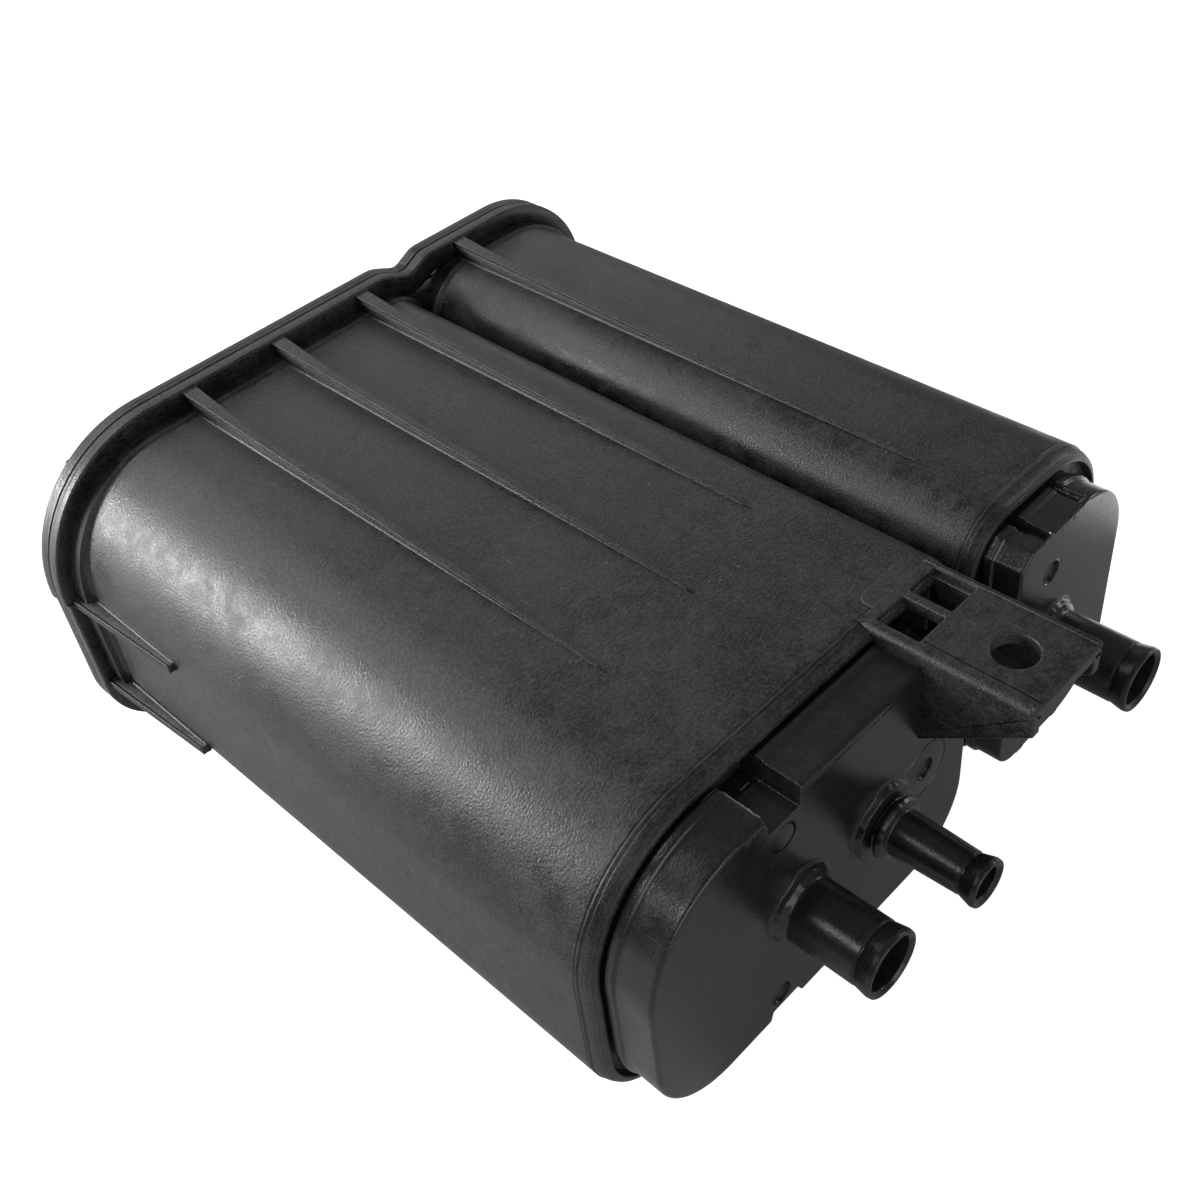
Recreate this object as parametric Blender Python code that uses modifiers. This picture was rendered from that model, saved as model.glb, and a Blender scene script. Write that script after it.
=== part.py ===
# Charcoal canister: a two-lobed moulded housing with three hose ports and a bolted
# bracket, a welded end cover, and the carbon beds, filters, grids, pressure plates
# and springs that it holds. Metres, +Z up. The ports face -Y and the cover faces +Y.
# Outlines are drawn in the XZ plane, with X from the main lobe's left wall and
# Z from the underside of the lobes. Y is zero at the front edge of the side walls.

import math

import bmesh
import bpy
from mathutils import Matrix, Vector

# Lobes of the body
BODY_LENGTH = 0.230
BODY_HEIGHT = 0.098
MAIN_LOBE_WIDTH = 0.1485
VENT_LOBE_WIDTH = 0.0725
LOBE_GAP = 0.0065
GROOVE_DEPTH = 0.026
GROOVE_RADIUS = 0.0031
MAIN_TOP_RADIUS = 0.040
MAIN_BOTTOM_RADIUS = 0.026
MAIN_INNER_RADIUS = 0.010
VENT_INNER_RADIUS = 0.020
VENT_OUTER_RADIUS = 0.030
WALL = 0.0028
PARTITION_THICKNESS = 0.003
LIP_DEPTH = 0.0046
LIP_INSET = 0.0042

# End chambers in front of the lobes
MAIN_CHAMBER_DEPTH = 0.020
MAIN_CHAMBER_LEFT_INSET = 0.005
MAIN_CHAMBER_RIGHT_INSET = 0.0135
VENT_CHAMBER_DEPTH = 0.017
VENT_CHAMBER_LEFT_INSET = 0.0065
VENT_CHAMBER_RIGHT_INSET = 0.0095
CHAMBER_TOP_INSET = 0.005
CHAMBER_BOTTOM_INSET = 0.0055
VENT_CHAMBER_BOTTOM_INSET = 0.004
CHAMBER_MAIN_TOP_RADIUS = 0.035
CHAMBER_MAIN_BOTTOM_RADIUS = 0.026
CHAMBER_MAIN_RIGHT_RADIUS = 0.024
CHAMBER_VENT_LOW_RADIUS = 0.010
CHAMBER_VENT_RIGHT_RADIUS = 0.025
CHAMBER_EDGE_RADIUS = 0.0028
CHAMFER_WIDTH = 0.0052
CHAMFER_DROP = 0.0047
CHAMFER_RADIUS = 0.0023
CHAMBER_TOP_FALL = 0.001
NOTCH_LEFT = 0.048
NOTCH_WIDTH = 0.0125
NOTCH_DEPTH = 0.008
UNDER_NOTCH_DEPTH = 0.0045
NOTCH_RADIUS = 0.002
MARK_RADIUS = 0.0044
MARK_DEPTH = 0.001
UPPER_MARK_DROP = 0.0177
LOWER_MARK_X = 0.052
LOWER_MARK_HEIGHT = 0.0155
FACE_MARK_SHARE = 0.771
FACE_MARK_RISE = 0.002
VENT_MARK_INSET = 0.0235
VENT_MARK_DROP = 0.0215
SLOT_DEPTH = 0.003
DEEP_SLOT_DEPTH = 0.005
SLOT_WIDTH = 0.0035
DEEP_SLOT_WIDTH = 0.004
SLOT_INSET = 0.0395
DEEP_SLOT_INSET = 0.0195
SLOT_FRONT_STOP = 0.0022
DEEP_SLOT_FRONT_STOP = 0.0008

# Flange round the open end, and the shoulder in front of it
FLANGE_THICKNESS = 0.005
FLANGE_RISE = 0.0094
FLANGE_LEFT_OVERHANG = 0.007
FLANGE_RIGHT_OVERHANG = 0.008
FLANGE_TOP_LEFT_RADIUS = 0.050
FLANGE_BOTTOM_LEFT_RADIUS = 0.027
FLANGE_RIGHT_RADIUS = 0.038
FLANGE_STEP = 0.0009
FLANGE_DIP = 0.004
FLANGE_DIP_WIDTH = 0.019
FLANGE_DIP_RADIUS = 0.010
SHOULDER_RISE = 0.0029
SHOULDER_LENGTH = 0.0065

# Wedge ribs that run forward from the flange: each one's share of the main lobe's width and
# its front end, then the same for the vent lobe, measured from that lobe's left wall
RIB_HEIGHT = 0.0088
RIB_WIDTH = 0.0036
RIB_TIP_WIDTH = 0.0012
RIB_TIP_HEIGHT = 0.0004
MAIN_RIB_SHARES = ((0.3852, 0.0387), (0.6256, 0.0407), (0.8694, 0.0516))
VENT_RIB_INSET = 0.0201
VENT_RIB_START = 0.0238
SIDE_RIB_HEIGHT = 0.0055
SIDE_RIB_WIDTH = 0.003
SIDE_RIB_TIP_HEIGHT = 0.0022
SIDE_RIB_LENGTH = 0.053
SIDE_RIB_HIGH = 0.0565
SIDE_RIB_LOW = 0.0185

# Hose ports: share of the main lobe's width or distance from the vent lobe's left wall,
# length in front of the chamber's face, radii of tube and bead
TANK_PORT_SHARE = 0.4007
TANK_PORT_LENGTH = 0.0292
TANK_TUBE_RADIUS = 0.0095
TANK_BEAD_RADIUS = 0.0100
PURGE_PORT_SHARE = 0.6364
PURGE_PORT_LENGTH = 0.0335
PURGE_TUBE_RADIUS = 0.0064
PURGE_BEAD_RADIUS = 0.0073
VENT_PORT_INSET = 0.0272
VENT_PORT_LENGTH = 0.0306
VENT_TUBE_RADIUS = 0.0097
VENT_BEAD_RADIUS = 0.0103
PORT_HEIGHT = BODY_HEIGHT / 2
PORT_WALL = 0.002
PORT_FLARE = 0.003
PORT_CHAMFER = 0.0006
BEAD_LENGTH = 0.0055
BEAD_ROUNDING = 0.0014
COLLAR_RADIUS = 0.0114
COLLAR_LENGTH = 0.0022
RING_RADIUS = 0.0091
RING_LENGTH = 0.0018
RING_GAP = 0.0016

# Bolted bracket on the front of the main lobe
BRACKET_INSET = 0.0386
BRACKET_WIDTH = 0.0312
BRACKET_REACH = 0.0516
BRACKET_THICKNESS = 0.0038
BRACKET_LIFT = 0.0005
BRACKET_SKIRT = 0.0085
BRACKET_SIDE = 0.0032
GUSSET_SETBACK = 0.0003
BRACKET_EDGE_RADIUS = 0.0022
GUSSET_FOOT_DROP = 0.031
BOLT_HOLE_RADIUS = 0.0062
BOLT_HOLE_SETBACK = 0.0151
WINDOW_FRONT = 0.0163
WINDOW_REAR = 0.003
WINDOW_LEFT_EDGE = 0.0036
WINDOW_RIGHT_EDGE = 0.0018
WINDOW_BAR = 0.003
PAD_LENGTH = 0.006
PAD_LEFT_MARGIN = 0.0066
PAD_RIGHT_MARGIN = 0.0036

# End cover
COVER_FLANGE_THICKNESS = 0.0047
PAN_DEPTH = 0.014
PAN_INSET = 0.0018
PAN_EDGE_RADIUS = 0.003
COVER_WALL = 0.0028
SPIGOT_LENGTH = 0.004
COVER_RIB_HEIGHT = 0.0022
COVER_RIB_WIDTH = 0.003
COVER_RIB_MARGIN = 0.006

# Inner stack, from the ports to the cover
CLEARANCE = 0.0003
BAFFLE_THICKNESS = 0.0024
BAFFLE_REACH = 0.030
GRID_THICKNESS = 0.0025
FILTER_THICKNESS = 0.004
PLATE_THICKNESS = 0.003
SPRING_ROOM = 0.0318
SPRING_RADIUS = 0.017
SPRING_WIRE = 0.002
SPRING_TURNS = 5
BOSS_HEIGHT = 0.003
HOLE_WIDTH = 0.004
HOLE_PITCH = 0.010
HOLE_LENGTH = 0.024
HOLE_EDGE = 0.009

# Facets, and the overlap that joined solids share
ROUND_FACETS = 24
SMALL_FACETS = 14
COIL_FACETS = 12
SHARP_RADIUS = 0.0002
OVERLAP = 0.001

# Sizes that follow from the ones above
BODY_WIDTH = MAIN_LOBE_WIDTH + LOBE_GAP + VENT_LOBE_WIDTH
VENT_LOBE_LEFT = MAIN_LOBE_WIDTH + LOBE_GAP
PARTITION_X = MAIN_LOBE_WIDTH + LOBE_GAP / 2
TANK_PORT_X = MAIN_LOBE_WIDTH * TANK_PORT_SHARE
PURGE_PORT_X = MAIN_LOBE_WIDTH * PURGE_PORT_SHARE
VENT_PORT_X = VENT_LOBE_LEFT + VENT_PORT_INSET
FACE_MARK_X = MAIN_LOBE_WIDTH * FACE_MARK_SHARE
VENT_MARK_X = VENT_LOBE_LEFT + VENT_MARK_INSET
SLOT_X = VENT_LOBE_LEFT + SLOT_INSET
DEEP_SLOT_X = VENT_LOBE_LEFT + DEEP_SLOT_INSET
BRACKET_LEFT = MAIN_LOBE_WIDTH - BRACKET_INSET
RIB_PLACES = [(MAIN_LOBE_WIDTH * share, start) for share, start in MAIN_RIB_SHARES]
RIB_PLACES.append((VENT_LOBE_LEFT + VENT_RIB_INSET, VENT_RIB_START))
FLANGE_END = BODY_LENGTH + FLANGE_THICKNESS
COVER_START = FLANGE_END + CLEARANCE
COVER_FLANGE_END = COVER_START + COVER_FLANGE_THICKNESS
COVER_BACK = COVER_FLANGE_END + PAN_DEPTH
INNER_FRONT = WALL - LIP_DEPTH
MAIN_FACE = -MAIN_CHAMBER_DEPTH
VENT_FACE = -VENT_CHAMBER_DEPTH
BAFFLE_X = (TANK_PORT_X + PURGE_PORT_X) / 2
GRID_START = INNER_FRONT + CLEARANCE
FILTER_START = GRID_START + GRID_THICKNESS + CLEARANCE
BED_START = FILTER_START + FILTER_THICKNESS + CLEARANCE
PLATE_END = FLANGE_END - SPRING_ROOM
PLATE_START = PLATE_END - PLATE_THICKNESS
REAR_FILTER_START = PLATE_START - CLEARANCE - FILTER_THICKNESS
BED_END = REAR_FILTER_START - CLEARANCE
COVER_INSIDE = COVER_BACK - COVER_WALL
BOSS_RADIUS = SPRING_RADIUS - SPRING_WIRE / 2 - 2 * CLEARANCE
MAIN_SPRING_SPREAD = MAIN_LOBE_WIDTH / 4
VENT_LOBE_X = VENT_LOBE_LEFT + VENT_LOBE_WIDTH / 2
FRONT_END = min(MAIN_FACE - max(TANK_PORT_LENGTH, PURGE_PORT_LENGTH),
                VENT_FACE - VENT_PORT_LENGTH, -BRACKET_REACH)


def new_collection(name):
    collection = bpy.data.collections.new(name)
    bpy.context.scene.collection.children.link(collection)
    return collection


def clear_scene():
    for existing in list(bpy.data.objects):
        bpy.data.objects.remove(existing, do_unlink=True)


clear_scene()
PARTS = new_collection("charcoal_canister")
CUTTERS = new_collection("cutters")

# Outlines: corners are (x, z, radius, facets), anticlockwise as seen from the front


def inset_corners(corners, distance):
    """Move each side of an outline inwards and adjust the corner radii to match."""
    moved = []
    for index, (x, z, radius, facets) in enumerate(corners):
        here = Vector((x, z))
        into = (here - Vector(corners[index - 1][:2])).normalized()
        out = (Vector(corners[(index + 1) % len(corners)][:2]) - here).normalized()
        inward = Vector((-into.y, into.x)) + Vector((-out.y, out.x))
        scale = distance / (1 + into.dot(out))
        turn = 1 if into.cross(out) > 0 else -1
        place = here + inward * scale
        moved.append((place.x, place.y, max(radius - turn * distance, SHARP_RADIUS), facets))
    return moved


def outline_points(corners):
    """Round each corner of an outline with an arc of its own radius."""
    points = []
    for index, (x, z, radius, facets) in enumerate(corners):
        here = Vector((x, z))
        if facets == 0:
            points.append(here)
            continue
        into = (here - Vector(corners[index - 1][:2])).normalized()
        out = (Vector(corners[(index + 1) % len(corners)][:2]) - here).normalized()
        turn = math.atan2(into.cross(out), into.dot(out))
        side = math.copysign(1, turn)
        start = here - into * radius * math.tan(abs(turn) / 2)
        centre = start + Vector((-into.y, into.x)) * radius * side
        for step in range(facets + 1):
            swing = Matrix.Rotation(turn * step / facets, 2)
            points.append(centre + swing @ (start - centre))
    return points


def rectangle(left, right, low, high, radius=SHARP_RADIUS, facets=0):
    return [(left, low, radius, facets), (right, low, radius, facets),
            (right, high, radius, facets), (left, high, radius, facets)]


def body_corners():
    """The figure of the two lobes, joined by a web between two grooves."""
    low = GROOVE_DEPTH
    high = BODY_HEIGHT - GROOVE_DEPTH
    return [(0, 0, MAIN_BOTTOM_RADIUS, 7),
            (MAIN_LOBE_WIDTH, 0, MAIN_INNER_RADIUS, 4),
            (MAIN_LOBE_WIDTH, low, GROOVE_RADIUS, 3),
            (VENT_LOBE_LEFT, low, GROOVE_RADIUS, 3),
            (VENT_LOBE_LEFT, 0, VENT_INNER_RADIUS, 5),
            (BODY_WIDTH, 0, VENT_OUTER_RADIUS, 7),
            (BODY_WIDTH, BODY_HEIGHT, VENT_OUTER_RADIUS, 7),
            (VENT_LOBE_LEFT, BODY_HEIGHT, VENT_INNER_RADIUS, 5),
            (VENT_LOBE_LEFT, high, GROOVE_RADIUS, 3),
            (MAIN_LOBE_WIDTH, high, GROOVE_RADIUS, 3),
            (MAIN_LOBE_WIDTH, BODY_HEIGHT, MAIN_INNER_RADIUS, 4),
            (0, BODY_HEIGHT, MAIN_TOP_RADIUS, 9)]


def flange_corners():
    """The flange runs round both lobes and dips where the grooves meet it."""
    top = BODY_HEIGHT + FLANGE_RISE
    left = -FLANGE_LEFT_OVERHANG
    right = BODY_WIDTH + FLANGE_RIGHT_OVERHANG
    dip_left = PARTITION_X - FLANGE_DIP_WIDTH / 2
    dip_right = PARTITION_X + FLANGE_DIP_WIDTH / 2
    step_z = top - FLANGE_TOP_LEFT_RADIUS - FLANGE_STEP
    return [(left, -FLANGE_RISE, FLANGE_BOTTOM_LEFT_RADIUS, 7),
            (dip_left, -FLANGE_RISE, FLANGE_DIP_RADIUS, 2),
            (dip_left + FLANGE_DIP, FLANGE_DIP - FLANGE_RISE, FLANGE_DIP, 2),
            (dip_right - FLANGE_DIP, FLANGE_DIP - FLANGE_RISE, FLANGE_DIP, 2),
            (dip_right, -FLANGE_RISE, FLANGE_DIP_RADIUS, 2),
            (right, -FLANGE_RISE, FLANGE_RIGHT_RADIUS, 8),
            (right, top, FLANGE_RIGHT_RADIUS, 8),
            (dip_right, top, FLANGE_DIP_RADIUS, 2),
            (dip_right - FLANGE_DIP, top - FLANGE_DIP, FLANGE_DIP, 2),
            (dip_left + FLANGE_DIP, top - FLANGE_DIP, FLANGE_DIP, 2),
            (dip_left, top, FLANGE_DIP_RADIUS, 2),
            (left - FLANGE_STEP, top, FLANGE_TOP_LEFT_RADIUS, 10),
            (left - FLANGE_STEP, step_z, SHARP_RADIUS, 0),
            (left, step_z - FLANGE_STEP, SHARP_RADIUS, 0)]


def main_chamber_corners():
    """The end chamber of the main lobe, notched at the top and at the bottom."""
    left = MAIN_CHAMBER_LEFT_INSET
    right = MAIN_LOBE_WIDTH - MAIN_CHAMBER_RIGHT_INSET
    low = CHAMBER_BOTTOM_INSET
    high = BODY_HEIGHT - CHAMBER_TOP_INSET
    notch_right = NOTCH_LEFT + NOTCH_WIDTH
    return [(left, low, CHAMBER_MAIN_BOTTOM_RADIUS, 7),
            (NOTCH_LEFT, low, NOTCH_RADIUS, 2),
            (NOTCH_LEFT, low + UNDER_NOTCH_DEPTH, NOTCH_RADIUS, 2),
            (notch_right, low + UNDER_NOTCH_DEPTH, NOTCH_RADIUS, 2),
            (notch_right, low, NOTCH_RADIUS, 2),
            (right, low, CHAMBER_MAIN_RIGHT_RADIUS, 7),
            (right, high, CHAMBER_MAIN_RIGHT_RADIUS, 7),
            (notch_right, high, NOTCH_RADIUS, 2),
            (notch_right, high - NOTCH_DEPTH, NOTCH_RADIUS, 2),
            (NOTCH_LEFT, high - NOTCH_DEPTH, NOTCH_RADIUS, 2),
            (NOTCH_LEFT, high, NOTCH_RADIUS, 2),
            (left, high, CHAMBER_MAIN_TOP_RADIUS, 9)]


def vent_chamber_corners():
    """The end chamber of the vent lobe, with a flat chamfer at the upper left."""
    left = VENT_LOBE_LEFT + VENT_CHAMBER_LEFT_INSET
    right = BODY_WIDTH - VENT_CHAMBER_RIGHT_INSET
    low = VENT_CHAMBER_BOTTOM_INSET
    high = BODY_HEIGHT - CHAMBER_TOP_INSET
    return [(left, low, CHAMBER_VENT_LOW_RADIUS, 5),
            (right, low, CHAMBER_VENT_RIGHT_RADIUS, 7),
            (right, high, CHAMBER_VENT_RIGHT_RADIUS, 7),
            (left + CHAMFER_WIDTH, high - CHAMBER_TOP_FALL, CHAMFER_RADIUS, 2),
            (left, high - CHAMBER_TOP_FALL - CHAMFER_DROP, CHAMFER_RADIUS, 2)]


def shoulder_corners():
    """The step where each lobe meets the flange, as one outline for each lobe."""
    rise = SHOULDER_RISE
    top = BODY_HEIGHT + rise
    main = [(-rise, -rise, MAIN_BOTTOM_RADIUS + rise, 7),
            (MAIN_LOBE_WIDTH + rise, -rise, MAIN_INNER_RADIUS + rise, 4),
            (MAIN_LOBE_WIDTH + rise, top, MAIN_INNER_RADIUS + rise, 4),
            (-rise, top, MAIN_TOP_RADIUS + rise, 9)]
    vent = [(VENT_LOBE_LEFT - rise, -rise, VENT_INNER_RADIUS + rise, 5),
            (BODY_WIDTH + rise, -rise, VENT_OUTER_RADIUS + rise, 7),
            (BODY_WIDTH + rise, top, VENT_OUTER_RADIUS + rise, 7),
            (VENT_LOBE_LEFT - rise, top, VENT_INNER_RADIUS + rise, 5)]
    return main, vent


# Solids


def make_object(name, bm, collection):
    bmesh.ops.recalc_face_normals(bm, faces=bm.faces)
    mesh = bpy.data.meshes.new(name)
    bm.to_mesh(mesh)
    bm.free()
    solid = bpy.data.objects.new(name, mesh)
    collection.objects.link(solid)
    if collection == CUTTERS:
        hide_cutter(solid)
    return solid


def hide_cutter(solid):
    solid.hide_render = True
    solid.display_type = "WIRE"


def loft(name, rings, collection=CUTTERS):
    """Skin a row of outlines with the same number of points, given as (corners, y)."""
    bm = bmesh.new()
    rows = []
    for corners, y in rings:
        rows.append([bm.verts.new((p.x, y, p.y)) for p in outline_points(corners)])
    count = len(rows[0])
    for near, far in zip(rows, rows[1:]):
        for index in range(count):
            after = (index + 1) % count
            bm.faces.new((near[index], near[after], far[after], far[index]))
    bm.faces.new(rows[0])
    bm.faces.new(rows[-1])
    bent = [face for face in bm.faces if len(face.verts) == 4]
    bmesh.ops.triangulate(bm, faces=bent)
    return make_object(name, bm, collection)


def box(name, low, high, collection=CUTTERS):
    bm = bmesh.new()
    size = Vector(high) - Vector(low)
    middle = (Vector(high) + Vector(low)) / 2
    bmesh.ops.create_cube(bm, size=1, matrix=Matrix.Translation(middle) @ Matrix.Diagonal((*size, 1)))
    return make_object(name, bm, collection)


def disc(name, centre, radius, depth, axis="Y", facets=ROUND_FACETS, collection=CUTTERS):
    """A cylinder whose middle is at the given centre."""
    bm = bmesh.new()
    turn = Matrix.Rotation(math.pi / 2, 4, "X") if axis == "Y" else Matrix.Identity(4)
    bmesh.ops.create_cone(bm, cap_ends=True, segments=facets, radius1=radius, radius2=radius,
                          depth=depth, matrix=Matrix.Translation(centre) @ turn)
    return make_object(name, bm, collection)


def turned(name, profile, base, collection=CUTTERS):
    """Revolve (radius, height) points, listed from the tip down, about a line along -Y."""
    bm = bmesh.new()
    row = [bm.verts.new((radius, 0, height)) for radius, height in profile]
    for first, second in zip(row, row[1:]):
        bm.edges.new((first, second))
    mesh = bpy.data.meshes.new(name)
    bm.to_mesh(mesh)
    bm.free()
    solid = bpy.data.objects.new(name, mesh)
    collection.objects.link(solid)
    screw = solid.modifiers.new("revolve", "SCREW")
    screw.axis = "Z"
    screw.steps = ROUND_FACETS
    screw.render_steps = ROUND_FACETS
    screw.use_merge_vertices = True
    screw.merge_threshold = 0.00001
    solid.rotation_euler = (math.pi / 2, 0, 0)
    solid.location = base
    if collection == CUTTERS:
        hide_cutter(solid)
    return solid


def combine(target, tool, operation):
    step = target.modifiers.new(operation.lower() + "_" + tool.name, "BOOLEAN")
    step.operation = operation
    step.solver = "EXACT"
    step.object = tool


def join(target, *tools):
    for tool in tools:
        combine(target, tool, "UNION")


def cut(target, *tools):
    for tool in tools:
        combine(target, tool, "DIFFERENCE")


# Materials


def material(name, colour, roughness, metallic=0.0):
    made = bpy.data.materials.new(name)
    made.use_nodes = True
    shader = made.node_tree.nodes["Principled BSDF"]
    shader.inputs["Base Color"].default_value = (*colour, 1)
    shader.inputs["Roughness"].default_value = roughness
    shader.inputs["Metallic"].default_value = metallic
    made.diffuse_color = (*colour, 1)
    return made


def finish(solid, name, colour, roughness, metallic=0.0):
    solid.data.materials.append(material(name, colour, roughness, metallic))


# Housing


def body_shell():
    """Both lobes as one solid, with a rounded lip round the front."""
    corners = body_corners()
    lip = [(1.0, 1.0), (0.45, 0.75), (0.14, 0.38), (0.0, 0.0)]
    rings = [(inset_corners(corners, LIP_INSET * inset), -LIP_DEPTH * depth) for inset, depth in lip]
    rings.append((corners, BODY_LENGTH + OVERLAP))
    return loft("canister_housing", rings, PARTS)


def end_chamber(name, corners, face):
    """A chamber with rounded front edges that grows out of the front wall."""
    radius = CHAMBER_EDGE_RADIUS
    edge = [(1.0, 0.0), (0.38, 0.21), (0.07, 0.62), (0.0, 1.0)]
    rings = [(inset_corners(corners, radius * inset), face + radius * depth) for inset, depth in edge]
    rings.append((corners, INNER_FRONT - WALL / 2))
    return loft(name, rings)


def flange_parts():
    flange = loft("flange", [(flange_corners(), BODY_LENGTH), (flange_corners(), FLANGE_END)])
    main, vent = shoulder_corners()
    start = BODY_LENGTH - SHOULDER_LENGTH
    end = BODY_LENGTH + OVERLAP
    return [flange,
            loft("main_shoulder", [(main, start), (main, end)]),
            loft("vent_shoulder", [(vent, start), (vent, end)])]


def top_ribs():
    """Wedges on the top and underside, highest at the flange."""
    ribs = []
    for number, (x, start) in enumerate(RIB_PLACES):
        for label, surface, side in (("top", BODY_HEIGHT, 1), ("under", 0, -1)):
            rings = []
            for width, height, y in ((RIB_TIP_WIDTH, RIB_TIP_HEIGHT, start),
                                     (RIB_WIDTH, RIB_HEIGHT, BODY_LENGTH + OVERLAP)):
                inner = surface - side * WALL / 2
                outer = surface + side * height
                low, high = min(inner, outer), max(inner, outer)
                rings.append((rectangle(x - width / 2, x + width / 2, low, high), y))
            ribs.append(loft(label + "_rib_" + str(number), rings))
    return ribs


def side_ribs():
    """Short wedges on both side walls, with blunt front ends."""
    ribs = []
    start = BODY_LENGTH - SIDE_RIB_LENGTH
    end = BODY_LENGTH + OVERLAP
    for label, surface, side in (("left", 0, -1), ("right", BODY_WIDTH, 1)):
        for number, z in enumerate((SIDE_RIB_LOW, SIDE_RIB_HIGH)):
            rings = []
            for height, y in ((SIDE_RIB_TIP_HEIGHT, start), (SIDE_RIB_HEIGHT, end)):
                inner = surface - side * 3 * WALL
                outer = surface + side * height
                left, right = min(inner, outer), max(inner, outer)
                rings.append((rectangle(left, right, z - SIDE_RIB_WIDTH / 2, z + SIDE_RIB_WIDTH / 2), y))
            ribs.append(loft(label + "_rib_" + str(number), rings))
    return ribs


def port(name, x, face, length, tube, bead, foot):
    """A hose port: a rounded bead at the tip, the tube, and the given foot."""
    edge = BEAD_ROUNDING
    profile = [(0, length), (bead - edge / 2, length), (bead - edge / 8, length - edge / 3),
               (bead, length - edge), (bead, length - BEAD_LENGTH / 2), (tube, length - BEAD_LENGTH)]
    profile += foot + [(foot[-1][0], -WALL / 2), (0, -WALL / 2)]
    return turned(name, profile, (x, face, PORT_HEIGHT))


def flared_foot(tube):
    flare = PORT_FLARE
    return [(tube, flare), (tube + flare / 4, flare / 2), (tube + flare, CLEARANCE)]


def collared_foot(tube):
    """A collar on the face, a groove, and a smaller ring in front of it."""
    ring = COLLAR_LENGTH + RING_GAP
    return [(tube, ring + RING_LENGTH + CLEARANCE), (RING_RADIUS, ring + RING_LENGTH), (RING_RADIUS, ring),
            (tube + CLEARANCE, ring - CLEARANCE), (tube + CLEARANCE, COLLAR_LENGTH + CLEARANCE),
            (COLLAR_RADIUS, COLLAR_LENGTH)]


def ports():
    return [port("tank_port", TANK_PORT_X, MAIN_FACE, TANK_PORT_LENGTH, TANK_TUBE_RADIUS,
                 TANK_BEAD_RADIUS, flared_foot(TANK_TUBE_RADIUS)),
            port("purge_port", PURGE_PORT_X, MAIN_FACE, PURGE_PORT_LENGTH, PURGE_TUBE_RADIUS,
                 PURGE_BEAD_RADIUS, collared_foot(PURGE_TUBE_RADIUS)),
            port("vent_port", VENT_PORT_X, VENT_FACE, VENT_PORT_LENGTH, VENT_TUBE_RADIUS,
                 VENT_BEAD_RADIUS, flared_foot(VENT_TUBE_RADIUS))]


def port_bores():
    """Each bore opens into its chamber, with a chamfered mouth."""
    bores = []
    for name, x, face, length, tube in (
            ("tank_bore", TANK_PORT_X, MAIN_FACE, TANK_PORT_LENGTH, TANK_TUBE_RADIUS),
            ("purge_bore", PURGE_PORT_X, MAIN_FACE, PURGE_PORT_LENGTH, PURGE_TUBE_RADIUS),
            ("vent_bore", VENT_PORT_X, VENT_FACE, VENT_PORT_LENGTH, VENT_TUBE_RADIUS)):
        bore = tube - PORT_WALL
        mouth = bore + PORT_CHAMFER + OVERLAP
        profile = [(0, length + OVERLAP), (mouth, length + OVERLAP), (bore, length - PORT_CHAMFER),
                   (bore, -WALL - OVERLAP), (0, -WALL - OVERLAP)]
        bores.append(turned(name, profile, (x, face, PORT_HEIGHT)))
    return bores


def bracket_plate():
    """The top plate, with its long edges rounded."""
    left = BRACKET_LEFT
    right = BRACKET_LEFT + BRACKET_WIDTH
    high = BODY_HEIGHT + BRACKET_LIFT
    low = high - BRACKET_THICKNESS
    radius = BRACKET_EDGE_RADIUS
    corners = [(left, low, SHARP_RADIUS, 0), (right, low, SHARP_RADIUS, 0),
               (right, high, radius / 2, 2), (left, high, radius, 3)]
    return loft("bracket_plate", [(corners, -BRACKET_REACH), (corners, OVERLAP)])


def bracket_gusset(name, left):
    """A side wall under the plate, deep at the housing and shallow at the tip."""
    high = BODY_HEIGHT + BRACKET_LIFT - BRACKET_THICKNESS / 2
    slope = (GUSSET_FOOT_DROP - BRACKET_SKIRT) / (BRACKET_REACH - MAIN_CHAMBER_DEPTH)
    rear = INNER_FRONT - WALL / 2
    rings = []
    for y in (-BRACKET_REACH, rear):
        low = BODY_HEIGHT - BRACKET_SKIRT - slope * (y + BRACKET_REACH)
        rings.append((rectangle(left, left + BRACKET_SIDE, low, high), y))
    return loft(name, rings)


def bracket_parts():
    right = BRACKET_LEFT + BRACKET_WIDTH
    pad = box("bracket_pad", (BRACKET_LEFT + PAD_LEFT_MARGIN, -OVERLAP / 2, BODY_HEIGHT - WALL / 2),
              (right - PAD_RIGHT_MARGIN, PAD_LENGTH, BODY_HEIGHT + BRACKET_LIFT))
    return [bracket_plate(), pad,
            bracket_gusset("left_gusset", BRACKET_LEFT + GUSSET_SETBACK),
            bracket_gusset("right_gusset", right - BRACKET_SIDE - GUSSET_SETBACK)]


def bracket_cuts():
    """Two windows beside the housing and the bolt hole near the tip."""
    high = BODY_HEIGHT + BRACKET_LIFT + OVERLAP
    low = BODY_HEIGHT + BRACKET_LIFT - BRACKET_THICKNESS - OVERLAP / 2
    left = BRACKET_LEFT + WINDOW_LEFT_EDGE
    right = BRACKET_LEFT + BRACKET_WIDTH - WINDOW_RIGHT_EDGE
    width = (right - left - WINDOW_BAR) / 2
    cuts = []
    for name, start in (("left_window", left), ("right_window", right - width)):
        cuts.append(box(name, (start, -WINDOW_FRONT, low), (start + width, -WINDOW_REAR, high)))
    hole = (BRACKET_LEFT + BRACKET_WIDTH / 2, BOLT_HOLE_SETBACK - BRACKET_REACH, BODY_HEIGHT)
    cuts.append(disc("bolt_hole", hole, BOLT_HOLE_RADIUS, 4 * BRACKET_THICKNESS, "Z"))
    return cuts


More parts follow.
